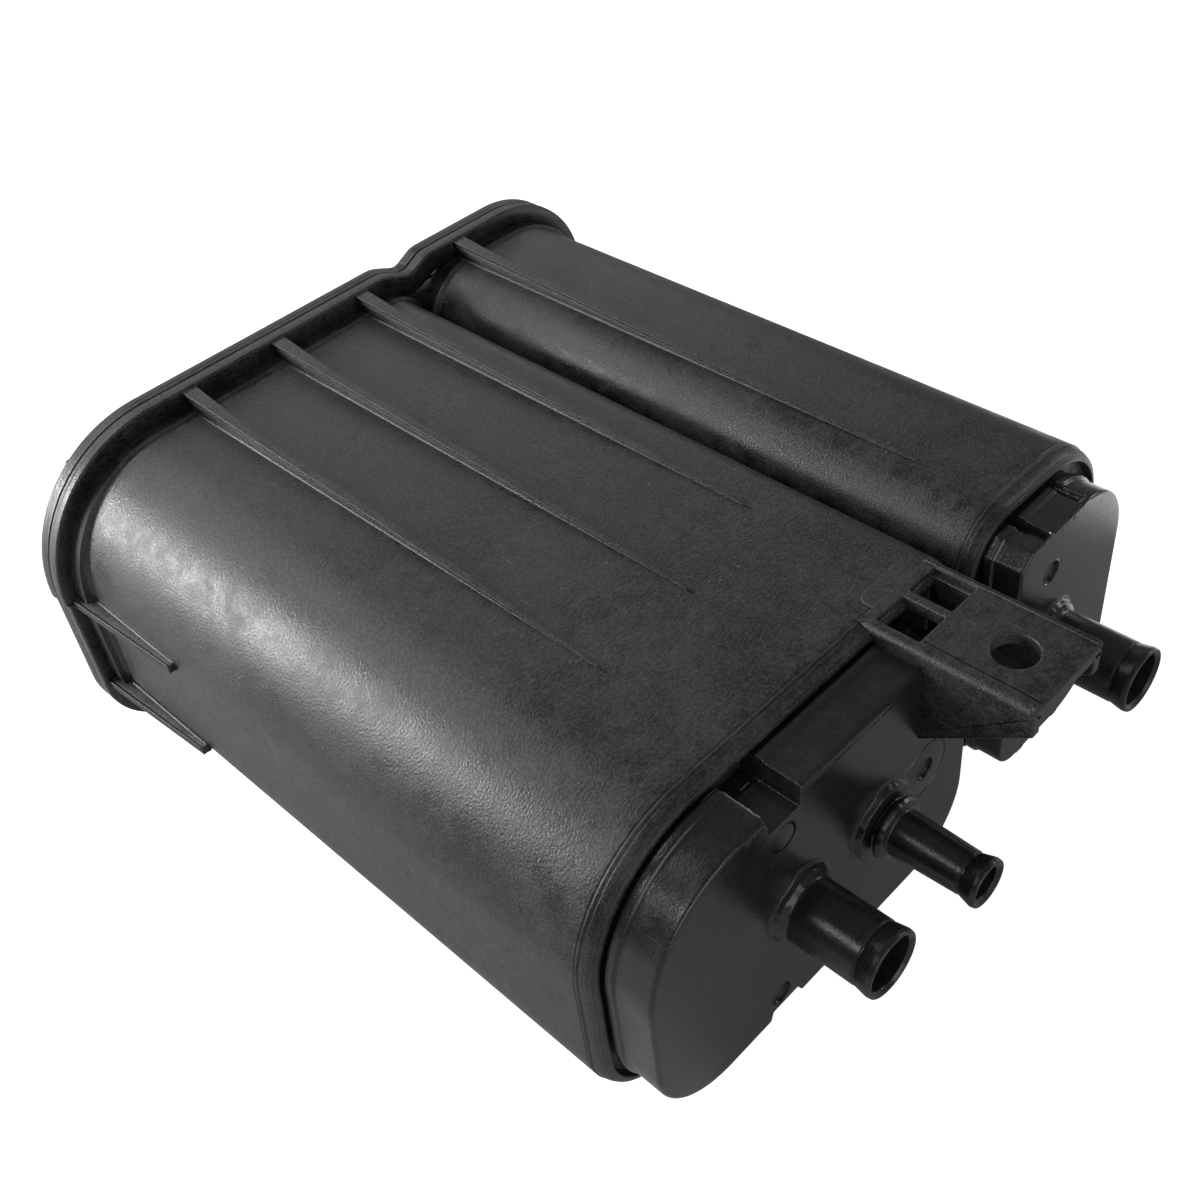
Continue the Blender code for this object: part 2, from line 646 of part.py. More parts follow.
def chamber_slots():
    """Grooves along the vent chamber, cut into its top and its underside."""
    high = BODY_HEIGHT - CHAMBER_TOP_INSET
    low = VENT_CHAMBER_BOTTOM_INSET
    rear = -LIP_DEPTH - OVERLAP
    slots = []
    for label, x, width, depth, stop in (
            ("slot", SLOT_X, SLOT_WIDTH, SLOT_DEPTH, SLOT_FRONT_STOP),
            ("deep_slot", DEEP_SLOT_X, DEEP_SLOT_WIDTH, DEEP_SLOT_DEPTH, DEEP_SLOT_FRONT_STOP)):
        front = VENT_FACE + stop
        slots.append(box("top_" + label, (x - width / 2, front, high - depth),
                         (x + width / 2, rear, high + OVERLAP)))
        slots.append(box("under_" + label, (x - width / 2, front, low - OVERLAP),
                         (x + width / 2, rear, low + depth)))
    return slots


def slot_floors():
    """Material behind the grooves, so that the chamber's wall is never cut through."""
    rear = -LIP_DEPTH + OVERLAP / 2
    high = BODY_HEIGHT - CHAMBER_TOP_INSET
    low = VENT_CHAMBER_BOTTOM_INSET
    floors = []
    for label, x, width, depth in (("slot", SLOT_X, SLOT_WIDTH, SLOT_DEPTH),
                                   ("deep_slot", DEEP_SLOT_X, DEEP_SLOT_WIDTH, DEEP_SLOT_DEPTH)):
        half = width / 2 + WALL
        for side, inner, outer in (("top", high - depth - WALL, high - depth - WALL / 8),
                                   ("under", low + depth + WALL / 8, low + depth + WALL)):
            floors.append(box(side + "_" + label + "_floor", (x - half, VENT_FACE + WALL / 2, inner),
                              (x + half, rear, outer)))
    return floors


def moulding_marks():
    """Shallow round recesses on the two end faces."""
    marks = []
    for name, x, face, z in (
            ("upper_mark", NOTCH_LEFT + NOTCH_WIDTH / 2, MAIN_FACE, BODY_HEIGHT - UPPER_MARK_DROP),
            ("lower_mark", LOWER_MARK_X, MAIN_FACE, LOWER_MARK_HEIGHT),
            ("face_mark", FACE_MARK_X, MAIN_FACE, PORT_HEIGHT + FACE_MARK_RISE),
            ("vent_mark", VENT_MARK_X, VENT_FACE, BODY_HEIGHT - VENT_MARK_DROP)):
        marks.append(disc(name, (x, face, z), MARK_RADIUS, 2 * MARK_DEPTH, facets=SMALL_FACETS))
    return marks


def housing_hollows():
    """The space for the beds and the two end chambers, a wall's thickness inside."""
    body = inset_corners(body_corners(), WALL)
    main = inset_corners(main_chamber_corners(), WALL)
    vent = inset_corners(vent_chamber_corners(), WALL)
    return [loft("bed_space", [(body, INNER_FRONT), (body, FLANGE_END + OVERLAP)]),
            loft("main_chamber_space", [(main, MAIN_FACE + WALL), (main, INNER_FRONT + OVERLAP)]),
            loft("vent_chamber_space", [(vent, VENT_FACE + WALL), (vent, INNER_FRONT + OVERLAP)])]


def inner_walls():
    """The partition between the lobes and the baffle between the two front ports."""
    half = PARTITION_THICKNESS / 2
    grip = WALL / 2
    partition = box("partition", (PARTITION_X - half, INNER_FRONT - grip, GROOVE_DEPTH + grip),
                    (PARTITION_X + half, PLATE_END, BODY_HEIGHT - GROOVE_DEPTH - grip))
    half = BAFFLE_THICKNESS / 2
    bed_baffle = box("bed_baffle", (BAFFLE_X - half, INNER_FRONT - OVERLAP, grip),
                     (BAFFLE_X + half, BAFFLE_REACH, BODY_HEIGHT - grip))
    low = CHAMBER_BOTTOM_INSET + grip
    high = BODY_HEIGHT - CHAMBER_TOP_INSET - grip
    chamber_baffle = box("chamber_baffle", (BAFFLE_X - half, MAIN_FACE + grip, low),
                         (BAFFLE_X + half, INNER_FRONT + OVERLAP, high))
    return [partition, bed_baffle, chamber_baffle]


def housing():
    shell = body_shell()
    join(shell, end_chamber("main_chamber", main_chamber_corners(), MAIN_FACE),
         end_chamber("vent_chamber", vent_chamber_corners(), VENT_FACE))
    join(shell, *flange_parts(), *top_ribs(), *side_ribs(), *bracket_parts(), *ports())
    cut(shell, *housing_hollows())
    join(shell, *slot_floors())
    cut(shell, *chamber_slots(), *moulding_marks(), *bracket_cuts(), *port_bores())
    join(shell, *inner_walls())
    finish(shell, "black_nylon", (0.028, 0.028, 0.029), 0.5)
    return shell


# End cover


def spring_places():
    """Names and places of the springs, two behind the main bed and one behind the vent bed."""
    middle = BODY_HEIGHT / 2
    main = MAIN_LOBE_WIDTH / 2
    return (("main_spring_left", main - MAIN_SPRING_SPREAD, middle),
            ("main_spring_right", main + MAIN_SPRING_SPREAD, middle),
            ("vent_spring", VENT_LOBE_X, middle))


def cover_ribs():
    """Stiffening bars on the back: upright beside each spring, level across the web."""
    low = COVER_RIB_MARGIN + PAN_INSET
    high = BODY_HEIGHT - low
    half = COVER_RIB_WIDTH / 2
    back = COVER_BACK + COVER_RIB_HEIGHT
    near = COVER_BACK - COVER_WALL / 2
    ribs = []
    for name, x, _ in spring_places():
        for place in (x - SPRING_RADIUS, x + SPRING_RADIUS):
            ribs.append(box(name + "_bar_" + str(len(ribs)), (place - half, near, low + half),
                            (place + half, back, high - half)))
    spread = BODY_HEIGHT / 2 - GROOVE_DEPTH - COVER_RIB_MARGIN
    for side in (-1, 1):
        z = BODY_HEIGHT / 2 + side * spread
        ribs.append(box("cross_bar_" + str(side + 1), (low, near, z - half),
                        (BODY_WIDTH - low, back - CLEARANCE, z + half)))
    return ribs


def end_cover():
    """Flange plate, pan and locating spigot, hollow inside, with three spring bosses."""
    flange = flange_corners()
    cover = loft("end_cover", [(flange, COVER_START), (flange, COVER_FLANGE_END)], PARTS)
    outer = inset_corners(body_corners(), PAN_INSET)
    edge = [(0.0, 1.0), (0.29, 0.29), (1.0, 0.0)]
    rings = [(outer, COVER_FLANGE_END - OVERLAP)]
    rings += [(inset_corners(outer, PAN_EDGE_RADIUS * inset), COVER_BACK - PAN_EDGE_RADIUS * depth)
              for inset, depth in edge]
    join(cover, loft("pan", rings))
    spigot = inset_corners(body_corners(), WALL + CLEARANCE)
    join(cover, loft("spigot", [(spigot, COVER_START - SPIGOT_LENGTH), (spigot, COVER_START + OVERLAP)]))
    join(cover, *cover_ribs())
    space = inset_corners(body_corners(), PAN_INSET + COVER_WALL)
    cut(cover, loft("pan_space", [(space, COVER_START - SPIGOT_LENGTH - OVERLAP), (space, COVER_INSIDE)]))
    for name, x, z in spring_places():
        middle = COVER_INSIDE - BOSS_HEIGHT / 2 + OVERLAP / 2
        join(cover, disc(name + "_boss", (x, middle, z), BOSS_RADIUS, BOSS_HEIGHT + OVERLAP))
    finish(cover, "cover_nylon", (0.03, 0.03, 0.031), 0.52)
    return cover


# Beds, filters, grids and plates


def fill(name, start, end, low_x, high_x):
    """A block that fills part of the housing's section between two places along X."""
    section = inset_corners(body_corners(), WALL + CLEARANCE)
    block = loft(name, [(section, start), (section, end)], PARTS)
    span = box(name + "_span", (low_x, start - OVERLAP, -OVERLAP),
               (high_x, end + OVERLAP, BODY_HEIGHT + OVERLAP))
    combine(block, span, "INTERSECT")
    return block


def main_span():
    return -OVERLAP, PARTITION_X - PARTITION_THICKNESS / 2 - CLEARANCE


def vent_span():
    return PARTITION_X + PARTITION_THICKNESS / 2 + CLEARANCE, BODY_WIDTH + OVERLAP


def tank_span():
    return -OVERLAP, BAFFLE_X - BAFFLE_THICKNESS / 2 - CLEARANCE


def purge_span():
    return BAFFLE_X + BAFFLE_THICKNESS / 2 + CLEARANCE, main_span()[1]


def perforate(plate, start, end, low_x, high_x):
    """Two rows of upright slots, clear of the outline's corners and of the middle band."""
    count = int((high_x - low_x) / HOLE_PITCH)
    first = (low_x + high_x - (count - 1) * HOLE_PITCH) / 2
    for row, z in (("low", HOLE_EDGE), ("high", BODY_HEIGHT - HOLE_EDGE - HOLE_LENGTH)):
        for number in range(count):
            x = first + number * HOLE_PITCH
            cut(plate, box(plate.name + "_" + row + "_" + str(number),
                           (x - HOLE_WIDTH / 2, start - OVERLAP, z),
                           (x + HOLE_WIDTH / 2, end + OVERLAP, z + HOLE_LENGTH)))


def hole_span(low_x, high_x):
    """The stretch of a plate that slots may use, inside the rounded corners."""
    left = max(low_x, MAIN_TOP_RADIUS / 2)
    right = min(high_x, BODY_WIDTH - VENT_OUTER_RADIUS / 2)
    return left + HOLE_WIDTH, right - HOLE_WIDTH


def carbon_beds():
    main = fill("main_carbon_bed", BED_START, BED_END, *main_span())
    half = BAFFLE_THICKNESS / 2 + CLEARANCE
    cut(main, box("baffle_slot", (BAFFLE_X - half, BED_START - OVERLAP, -OVERLAP),
                  (BAFFLE_X + half, BAFFLE_REACH + CLEARANCE, BODY_HEIGHT + OVERLAP)))
    vent = fill("vent_carbon_bed", BED_START, BED_END, *vent_span())
    for bed in (main, vent):
        finish(bed, bed.name + "_granules", (0.012, 0.012, 0.012), 0.95)


def filters():
    """Foam pads in front of and behind the carbon."""
    for name, start, span in (("tank_port_filter", FILTER_START, tank_span()),
                              ("purge_port_filter", FILTER_START, purge_span()),
                              ("vent_port_filter", FILTER_START, vent_span()),
                              ("main_rear_filter", REAR_FILTER_START, main_span()),
                              ("vent_rear_filter", REAR_FILTER_START, vent_span())):
        pad = fill(name, start, start + FILTER_THICKNESS, *span)
        finish(pad, name + "_foam", (0.17, 0.17, 0.165), 0.95)


def grids():
    """Slotted plates that hold the front filters off the end chambers."""
    for name, span in (("tank_port_grid", tank_span()), ("purge_port_grid", purge_span()),
                       ("vent_port_grid", vent_span())):
        grid = fill(name, GRID_START, GRID_START + GRID_THICKNESS, *span)
        perforate(grid, GRID_START, GRID_START + GRID_THICKNESS, *hole_span(*span))
        finish(grid, name + "_nylon", (0.05, 0.05, 0.052), 0.5)


def pressure_plates():
    """Slotted plates that the springs push against the rear filters."""
    for name, span in (("main_pressure_plate", main_span()), ("vent_pressure_plate", vent_span())):
        plate = fill(name, PLATE_START, PLATE_END, *span)
        perforate(plate, PLATE_START, PLATE_END, *hole_span(*span))
        lobe = name.split("_")[0]
        for spring, x, z in spring_places():
            if spring.startswith(lobe):
                middle = PLATE_END + BOSS_HEIGHT / 2 - OVERLAP / 2
                join(plate, disc(spring + "_seat", (x, middle, z), BOSS_RADIUS, BOSS_HEIGHT + OVERLAP))
        finish(plate, name + "_nylon", (0.06, 0.06, 0.062), 0.5)


# Springs


def spring(name, x, z):
    """A coil whose end turns lie flat against the plate and the cover."""
    start = PLATE_END + SPRING_WIRE / 2 + CLEARANCE
    end = COVER_INSIDE - SPRING_WIRE / 2 - CLEARANCE
    steps = SPRING_TURNS * COIL_FACETS
    curve = bpy.data.curves.new(name, "CURVE")
    curve.dimensions = "3D"
    curve.bevel_depth = SPRING_WIRE / 2
    curve.bevel_resolution = 2
    curve.use_fill_caps = True
    line = curve.splines.new("POLY")
    line.points.add(steps)
    closed = 0.9 / SPRING_TURNS
    for step, point in enumerate(line.points):
        share = step / steps
        run = min(max((share - closed) / (1 - 2 * closed), 0), 1)
        flat = min(share, closed) + max(share - (1 - closed), 0)
        rise = flat / closed * (SPRING_WIRE + CLEARANCE)
        y = start + rise + run * (end - start - 2 * (SPRING_WIRE + CLEARANCE))
        angle = share * SPRING_TURNS * 2 * math.pi
        point.co = (x + SPRING_RADIUS * math.cos(angle), y, z + SPRING_RADIUS * math.sin(angle), 1)
    coil = bpy.data.objects.new(name, curve)
    PARTS.objects.link(coil)
    finish(coil, name + "_steel", (0.45, 0.45, 0.46), 0.35, 1.0)


# Assembly


def place_in_frame():
    """Parent everything to an empty that puts the origin under the middle of the part."""
    left = -FLANGE_LEFT_OVERHANG - FLANGE_STEP
    right = BODY_WIDTH + FLANGE_RIGHT_OVERHANG
    back = COVER_BACK + COVER_RIB_HEIGHT
    frame = bpy.data.objects.new("canister_origin", None)
    PARTS.objects.link(frame)
    frame.location = (-(left + right) / 2, -(FRONT_END + back) / 2, FLANGE_RISE)
    for collection in (PARTS, CUTTERS):
        for solid in collection.objects:
            if solid != frame:
                solid.parent = frame


def main():
    housing()
    end_cover()
    carbon_beds()
    filters()
    grids()
    pressure_plates()
    for name, x, z in spring_places():
        spring(name, x, z)
    place_in_frame()
    bpy.context.view_layer.update()


main()
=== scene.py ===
# Looks for the charcoal canister: a finely modelled housing and end cover in satin black
# nylon, finishes for everything inside, a pale floor, soft lights and the camera

import math

import bmesh
import bpy
import numpy as np
from mathutils import Matrix, Vector
from mathutils.geometry import tessellate_polygon


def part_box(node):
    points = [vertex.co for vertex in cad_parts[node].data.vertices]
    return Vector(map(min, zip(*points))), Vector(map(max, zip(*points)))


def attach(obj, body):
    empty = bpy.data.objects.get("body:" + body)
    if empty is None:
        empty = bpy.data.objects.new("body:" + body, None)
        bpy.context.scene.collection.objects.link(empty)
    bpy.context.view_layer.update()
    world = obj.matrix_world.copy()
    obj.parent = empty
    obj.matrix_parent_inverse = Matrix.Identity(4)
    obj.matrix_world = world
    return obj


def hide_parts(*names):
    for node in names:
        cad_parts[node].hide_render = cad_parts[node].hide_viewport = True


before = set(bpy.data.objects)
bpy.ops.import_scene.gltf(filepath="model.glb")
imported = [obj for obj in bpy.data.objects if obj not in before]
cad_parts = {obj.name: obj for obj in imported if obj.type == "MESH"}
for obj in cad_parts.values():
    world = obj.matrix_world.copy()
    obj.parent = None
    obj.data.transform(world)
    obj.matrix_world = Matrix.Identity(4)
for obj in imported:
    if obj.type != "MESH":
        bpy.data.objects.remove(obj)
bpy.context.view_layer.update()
print("frame loaded")

# Places are worked out from the housing's box: x from the main lobe's left wall,
# y from the front edge of the side walls, z from the underside of the lobes

overhang = dict(left=0.007, right=0.008, step=0.0009, rise=0.0094)
housingLow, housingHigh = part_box("canister_housing")
frontReach = 0.0535                                      # the purge port's tip, ahead of the walls
homePoint = np.array([housingLow[0] + overhang["left"] + overhang["step"],
                      housingLow[1] + frontReach,
                      housingLow[2] + overhang["rise"]])

body = dict(mainWidth=0.1485, gap=0.0065, ventWidth=0.0725, height=0.098, length=0.230,
            grooveDepth=0.026, grooveRadius=0.0031, mainTop=0.040, mainLow=0.026, mainInner=0.010,
            ventInner=0.020, ventOuter=0.030, lipDepth=0.0044, lipInset=0.0036)
ventLeft = body["mainWidth"] + body["gap"]
bodyRight = ventLeft + body["ventWidth"]
webMiddle = body["mainWidth"] + body["gap"] / 2


# Mesh helpers

# A closed outline of straight runs and corner arcs, with the outward direction at each point.
# Each corner's arc touches both runs at radius * tan(half the turn) from the corner.
def roundedOutline(corners, spacing, turnStep=0.06):
    points, normals = [], []
    count = len(corners)
    for i in range(count):
        x, z, radius = corners[i]
        here = np.array([x, z])
        into = here - np.array(corners[i - 1][:2])
        out = np.array(corners[(i + 1) % count][:2]) - here
        into, out = into / np.linalg.norm(into), out / np.linalg.norm(out)
        turn = math.atan2(into[0] * out[1] - into[1] * out[0], into @ out)
        start = here - into * radius * math.tan(abs(turn) / 2)
        side = math.copysign(1, turn)
        centre = start + np.array([-into[1], into[0]]) * radius * side
        pieces = max(3, int(abs(turn) / turnStep), int(abs(turn) * radius / spacing))
        angle = np.linspace(0, turn, pieces + 1)
        cos, sin = np.cos(angle), np.sin(angle)
        spoke = start - centre
        arc = centre + np.stack([cos * spoke[0] - sin * spoke[1], sin * spoke[0] + cos * spoke[1]], axis=1)
        heading = np.stack([cos * into[0] - sin * into[1], sin * into[0] + cos * into[1]], axis=1)
        points.append(arc)
        normals.append(np.stack([heading[:, 1], -heading[:, 0]], axis=1))
    allPoints, allNormals = [], []
    for i in range(count):                               # straight runs between the arcs
        first, second = points[i][-1], points[(i + 1) % count][0]
        steps = int(np.linalg.norm(second - first) / spacing)
        share = np.linspace(0, 1, steps + 2)[1:-1, None]
        allPoints += [points[i], first + (second - first) * share]
        allNormals += [normals[i], np.repeat(normals[i][-1:], len(share), axis=0)]
    return np.vstack(allPoints), np.vstack(allNormals)


# An open line through corners (a, b, radius): straight runs joined by short arcs
def roundedLine(corners, pieces=5):
    points = [np.array([corners[0][:2]], dtype=float)]
    for before, corner, after in zip(corners, corners[1:], corners[2:]):
        here, radius = np.array(corner[:2], dtype=float), corner[2]
        into, out = here - np.array(before[:2]), np.array(after[:2]) - here
        lengthIn, lengthOut = np.linalg.norm(into), np.linalg.norm(out)
        into, out = into / lengthIn, out / lengthOut
        turn = math.atan2(into[0] * out[1] - into[1] * out[0], into @ out)
        if radius == 0 or abs(turn) < 0.001:
            points.append(here[None])
            continue
        reach = min(radius * math.tan(abs(turn) / 2), lengthIn * 0.49, lengthOut * 0.49)
        radius = reach / math.tan(abs(turn) / 2)
        start = here - into * reach
        spoke = start - (start + np.array([-into[1], into[0]]) * radius * math.copysign(1, turn))
        angle = np.linspace(0, turn, pieces + 1)
        cos, sin = np.cos(angle), np.sin(angle)
        swing = np.stack([cos * spoke[0] - sin * spoke[1], sin * spoke[0] + cos * spoke[1]], axis=1)
        points.append(start - spoke + swing)
    points.append(np.array([corners[-1][:2]], dtype=float))
    return np.vstack(points)


# 3v^2 - 2v^3 of the value v, held between 0 and 1
def smoothStep(value):
    value = np.clip(value, 0, 1)
    return value * value * (3 - 2 * value)


# 1 between low and high, 0 outside, with a soft edge of the given width centred on each limit
def softWindow(value, low, high, edge):
    return smoothStep((value - low) / edge + 0.5) * smoothStep((high - value) / edge + 0.5)


# Quads of a (rows, columns, 3) grid, closed across the columns
def gridPatch(grid, wrap=True):
    rows, columns = grid.shape[:2]
    index = np.arange(rows * columns).reshape(rows, columns)
    if wrap:
        index = np.column_stack([index, index[:, :1]])
    quads = np.stack([index[:-1, :-1], index[:-1, 1:], index[1:, 1:], index[1:, :-1]], axis=-1)
    return grid.reshape(-1, 3), quads.reshape(-1, 4)


# A flat area inside the first loop and outside the others
def capPatch(*loops):
    if len(loops) == 1:
        return loops[0], np.arange(len(loops[0]))[None]
    triangles = tessellate_polygon([[Vector(p) for p in loop] for loop in loops])
    return np.vstack(loops), np.array(triangles)


# A profile of (offset, y) carried round an outline in the XZ plane: each point moves along
# the outline's own outward direction by the offset, less the depth of any recess there
def carriedGrid(outline, normals, profile, recess=None):
    offset = np.repeat(profile[:, :1], len(outline), axis=1)
    if recess is not None:
        offset = offset - recess(outline, normals, profile)
    flat = outline[None] + offset[..., None] * normals[None]
    y = np.repeat(profile[:, 1:], len(outline), axis=1)
    return np.stack([flat[..., 0], y, flat[..., 1]], axis=-1)


# A profile of (radius, height) turned about a line through the centre, heights running to -Y
def turnedGrid(profile, centre, columns):
    angle = np.linspace(0, 2 * np.pi, columns, endpoint=False)
    radius, height = profile[:, :1], profile[:, 1:]
    return np.stack([centre[0] + radius * np.cos(angle), centre[1] - height + 0 * angle,
                     centre[2] + radius * np.sin(angle)], axis=-1)


# One mesh from patches of vertices and faces: seams merged, faces turned outwards. Grids
# are shaded smooth and flat areas flat.
def meshPiece(name, patches):
    vertices = np.vstack([points for points, _ in patches]) + homePoint
    loops, starts, smooth, base, used = [], [], [], 0, 0
    for points, faces in patches:
        sides = faces.shape[1]
        loops.append((faces + base).ravel())
        starts.append(used + np.arange(len(faces)) * sides)
        smooth.append(np.full(len(faces), sides == 4))
        base += len(points)
        used += faces.size
    loops, starts = np.concatenate(loops), np.concatenate(starts)
    mesh = bpy.data.meshes.new(name)
    mesh.vertices.add(len(vertices))
    mesh.vertices.foreach_set("co", vertices.ravel())
    mesh.loops.add(len(loops))
    mesh.loops.foreach_set("vertex_index", loops)
    mesh.polygons.add(len(starts))
    mesh.polygons.foreach_set("loop_start", starts)
    mesh.polygons.foreach_set("use_smooth", np.concatenate(smooth))
    mesh.update(calc_edges=True)
    work = bmesh.new()
    work.from_mesh(mesh)
    bmesh.ops.remove_doubles(work, verts=work.verts, dist=0.000004)
    bmesh.ops.recalc_face_normals(work, faces=work.faces)
    work.to_mesh(mesh)
    work.free()
    piece = bpy.data.objects.new(name, mesh)
    bpy.context.scene.collection.objects.link(piece)
    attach(piece, "root")
    return piece


# Housing walls

lip = dict(crest=0.0004, seamDepth=0.0003, seamLength=0.0012, wallRecess=0.0015, rimInset=0.0056,
           lines=((1.42, 0.04, -0.00005), (1.32, 0.045, 0.00002), (0.66, 0.05, 0.00010),
                  (0.54, 0.05, -0.00009)))
shoulder = dict(rise=0.0029, length=0.0065, fillet=0.0022, edge=0.0004)
draft = dict(rise=0.0026, blend=0.0010)


# The figure of both lobes as corners (x, z, radius), counter-clockwise, with a groove between
# the lobes above and below
def bodyCorners():
    low, high = body["grooveDepth"], body["height"] - body["grooveDepth"]
    main, vent, right, top = body["mainWidth"], ventLeft, bodyRight, body["height"]
    groove = body["grooveRadius"]
    return [(0, 0, body["mainLow"]), (main, 0, body["mainInner"]), (main, low, groove),
            (vent, low, groove), (vent, 0, body["ventInner"]), (right, 0, body["ventOuter"]),
            (right, top, body["ventOuter"]), (vent, top, body["ventInner"]), (vent, high, groove),
            (main, high, groove), (main, top, body["mainInner"]), (0, top, body["mainTop"])]


# From the recessed front wall, over the convex lip and its thin crisp edge, along the side
# walls to the shoulder. The lip is a quarter of an ellipse, lipInset wide and lipDepth deep,
# with thin lines of relief: each a bell curve at an angle, of a width and a height.
def bodyProfile():
    inset, depth = body["lipInset"], body["lipDepth"]
    angle = np.linspace(0.12, 0.5 * math.pi, 56)
    relief = sum(high * np.exp(-((angle - middle) / width) ** 2) for middle, width, high in lip["lines"])
    curve = np.stack([-inset + (inset - lip["crest"]) * np.sin(angle) + relief * np.sin(angle),
                      -(depth + relief) * np.cos(angle)], axis=1)
    recess, rim = lip["wallRecess"], lip["rimInset"]
    front = roundedLine([(-rim - 0.0006, -recess), (-rim, -recess, 0.0003),
                         (-inset - 0.0006, -recess, 0.0005), (-inset - 0.0002, -depth, 0.0004),
                         (curve[0, 0], curve[0, 1])])
    edge = roundedLine([(-lip["crest"], 0), (0, 0.0001, 0.00008), (-0.00002, 0.0004, 0.0001),
                        (-lip["seamDepth"], 0.0008, 0.00015), (0, lip["seamLength"], 0.0003), (0, 0.004)], 3)
    end, rise = body["length"], shoulder["rise"]
    walls = np.stack([np.zeros(12), np.linspace(0.008, end - 0.016, 12)], axis=1)
    foot = end - shoulder["length"]
    rear = roundedLine([(0, foot - 0.005), (0, foot, shoulder["fillet"]),
                        (rise, foot + 0.0006, shoulder["edge"]), (rise, end - 0.0004, 0),
                        (rise, end + 0.0012)], 8)
    return np.vstack([front, curve[1:], edge[1:], walls, rear])


# The mould's draft: the lobes grow a little taller from the front edge to the shoulder, each
# point moving away from mid height by its share of the rise
def draftedHeights(grid):
    middle, foot = body["height"] / 2, body["length"] - shoulder["length"]
    along = grid[..., 1]
    rise = draft["rise"] * np.clip(along / foot, 0, 1) * (1 - smoothStep((along - foot) / draft["blend"]))
    grid[..., 2] = middle + (grid[..., 2] - middle) * (1 + rise / middle)
    return grid


# The side walls: the profile from lip to shoulder carried round both lobes, capped inside the
# lip and behind the flange
def housingWalls():
    outline, normals = roundedOutline(bodyCorners(), 0.0012)
    grid = draftedHeights(carriedGrid(outline, normals, bodyProfile()))
    return [gridPatch(grid), capPatch(grid[0]), capPatch(grid[-1])]


# End chambers

chamber = dict(mainDepth=0.020, ventDepth=0.017, left=0.005, right=0.0135, ventLeftInset=0.0065,
               ventRightInset=0.0095, topInset=0.005, lowInset=0.0062, ventLowInset=0.004,
               mainTop=0.035, mainLow=0.026, mainRight=0.024, ventRight=0.025, ventLow=0.010,
               mainEdge=0.0026, ventEdge=0.0017, beadHigh=0.0008, beadStart=0.0050, beadLength=0.0026)
facet = dict(width=0.0052, drop=0.0047, radius=0.0023, slope=0.0010)
notch = dict(left=0.048, width=0.0125, depth=0.0060, underDepth=0.0042, edge=0.0013, sharpen=0.9)
slots = dict(plain=(0.1945, 0.0035, 0.0019, 0.0022),    # middle, width, depth and front stop
             deep=(0.1745, 0.004, 0.0038, 0.0008), edge=0.0008, rearStop=0.0006, sharpen=0.85)
marks = dict(radius=0.0040, depth=0.001, ringRadius=0.0096)
markPlaces = dict(upper=(0.05425, 0.0803), lower=(0.052, 0.0155), face=(0.1145, 0.051),
                  vent=(0.1785, 0.0765))


# The main chamber's outline as corners (x, z, radius), set in from the lobe on each side
def mainChamberCorners():
    left, right = chamber["left"], body["mainWidth"] - chamber["right"]
    low, high = chamber["lowInset"], body["height"] - chamber["topInset"]
    return [(left, low, chamber["mainLow"]), (right, low, chamber["mainRight"]),
            (right, high, chamber["mainRight"]), (left, high, chamber["mainTop"])]


# The vent chamber's upper left corner is a flat facet with two small arcs
def ventChamberCorners():
    left, right = ventLeft + chamber["ventLeftInset"], bodyRight - chamber["ventRightInset"]
    low, high = chamber["ventLowInset"], body["height"] - chamber["topInset"]
    facetTop = high - facet["slope"]
    return [(left, low, chamber["ventLow"]), (right, low, chamber["ventRight"]),
            (right, high, chamber["ventRight"]), (left + facet["width"], facetTop, facet["radius"]),
            (left, facetTop - facet["drop"], facet["radius"])]


# The notches of the main chamber, as a depth at each point of its top and underside; the
# front edge's rounding shrinks inside a notch, which leaves room for the mark below it
def notchRecess(outline, normals, profile):
    across = softWindow(outline[:, 0], notch["left"], notch["left"] + notch["width"], notch["edge"])
    upper, under = normals[:, 1] > 0.7, normals[:, 1] < -0.7
    depth = np.where(upper, notch["depth"], np.where(under, notch["underDepth"], 0))
    return (across * depth)[None] + (across * (depth > 0))[None] * notch["sharpen"] * profile[:, :1]


# The grooves of the vent chamber: the plain one stops short of the front edge, the deep one
# runs out through it
def slotRecess(outline, normals, profile):
    flat = np.abs(normals[:, 1]) > 0.7
    depth = np.zeros((len(profile), len(outline)))
    for name in ("plain", "deep"):
        middle, width, deep, frontStop = slots[name]
        along = softWindow(profile[:, 1], -chamber["ventDepth"] + frontStop,
                           -chamber["beadStart"] + slots["rearStop"], slots["edge"])
        across = softWindow(outline[:, 0], middle - width / 2, middle + width / 2, slots["edge"]) * flat
        depth += along[:, None] * (across * deep)[None] + across[None] * slots["sharpen"] * profile[:, :1]
    return depth


# From inside the front wall, over a thin bead round the foot, to the rounded front edge
def chamberProfile(depth, edge):
    start, high = chamber["beadStart"], chamber["beadHigh"]
    foot = roundedLine([(0, -0.001), (0, -start, 0.0003), (high, -start - 0.0003, 0.0005),
                        (high, -start - chamber["beadLength"], 0.0006),
                        (0, -start - chamber["beadLength"] - 0.0007, 0.0008),
                        (0, -start - chamber["beadLength"] - 0.0018)])
    rows = np.linspace(foot[-1, 1] - 0.0004, -depth + edge + 0.0002, 24)
    walls = np.stack([np.zeros(24), rows], axis=1)
    front = roundedLine([(0, -depth + edge + 0.0001), (0, -depth, edge), (-edge - 0.0005, -depth)], 12)
    return np.vstack([foot, walls, front])


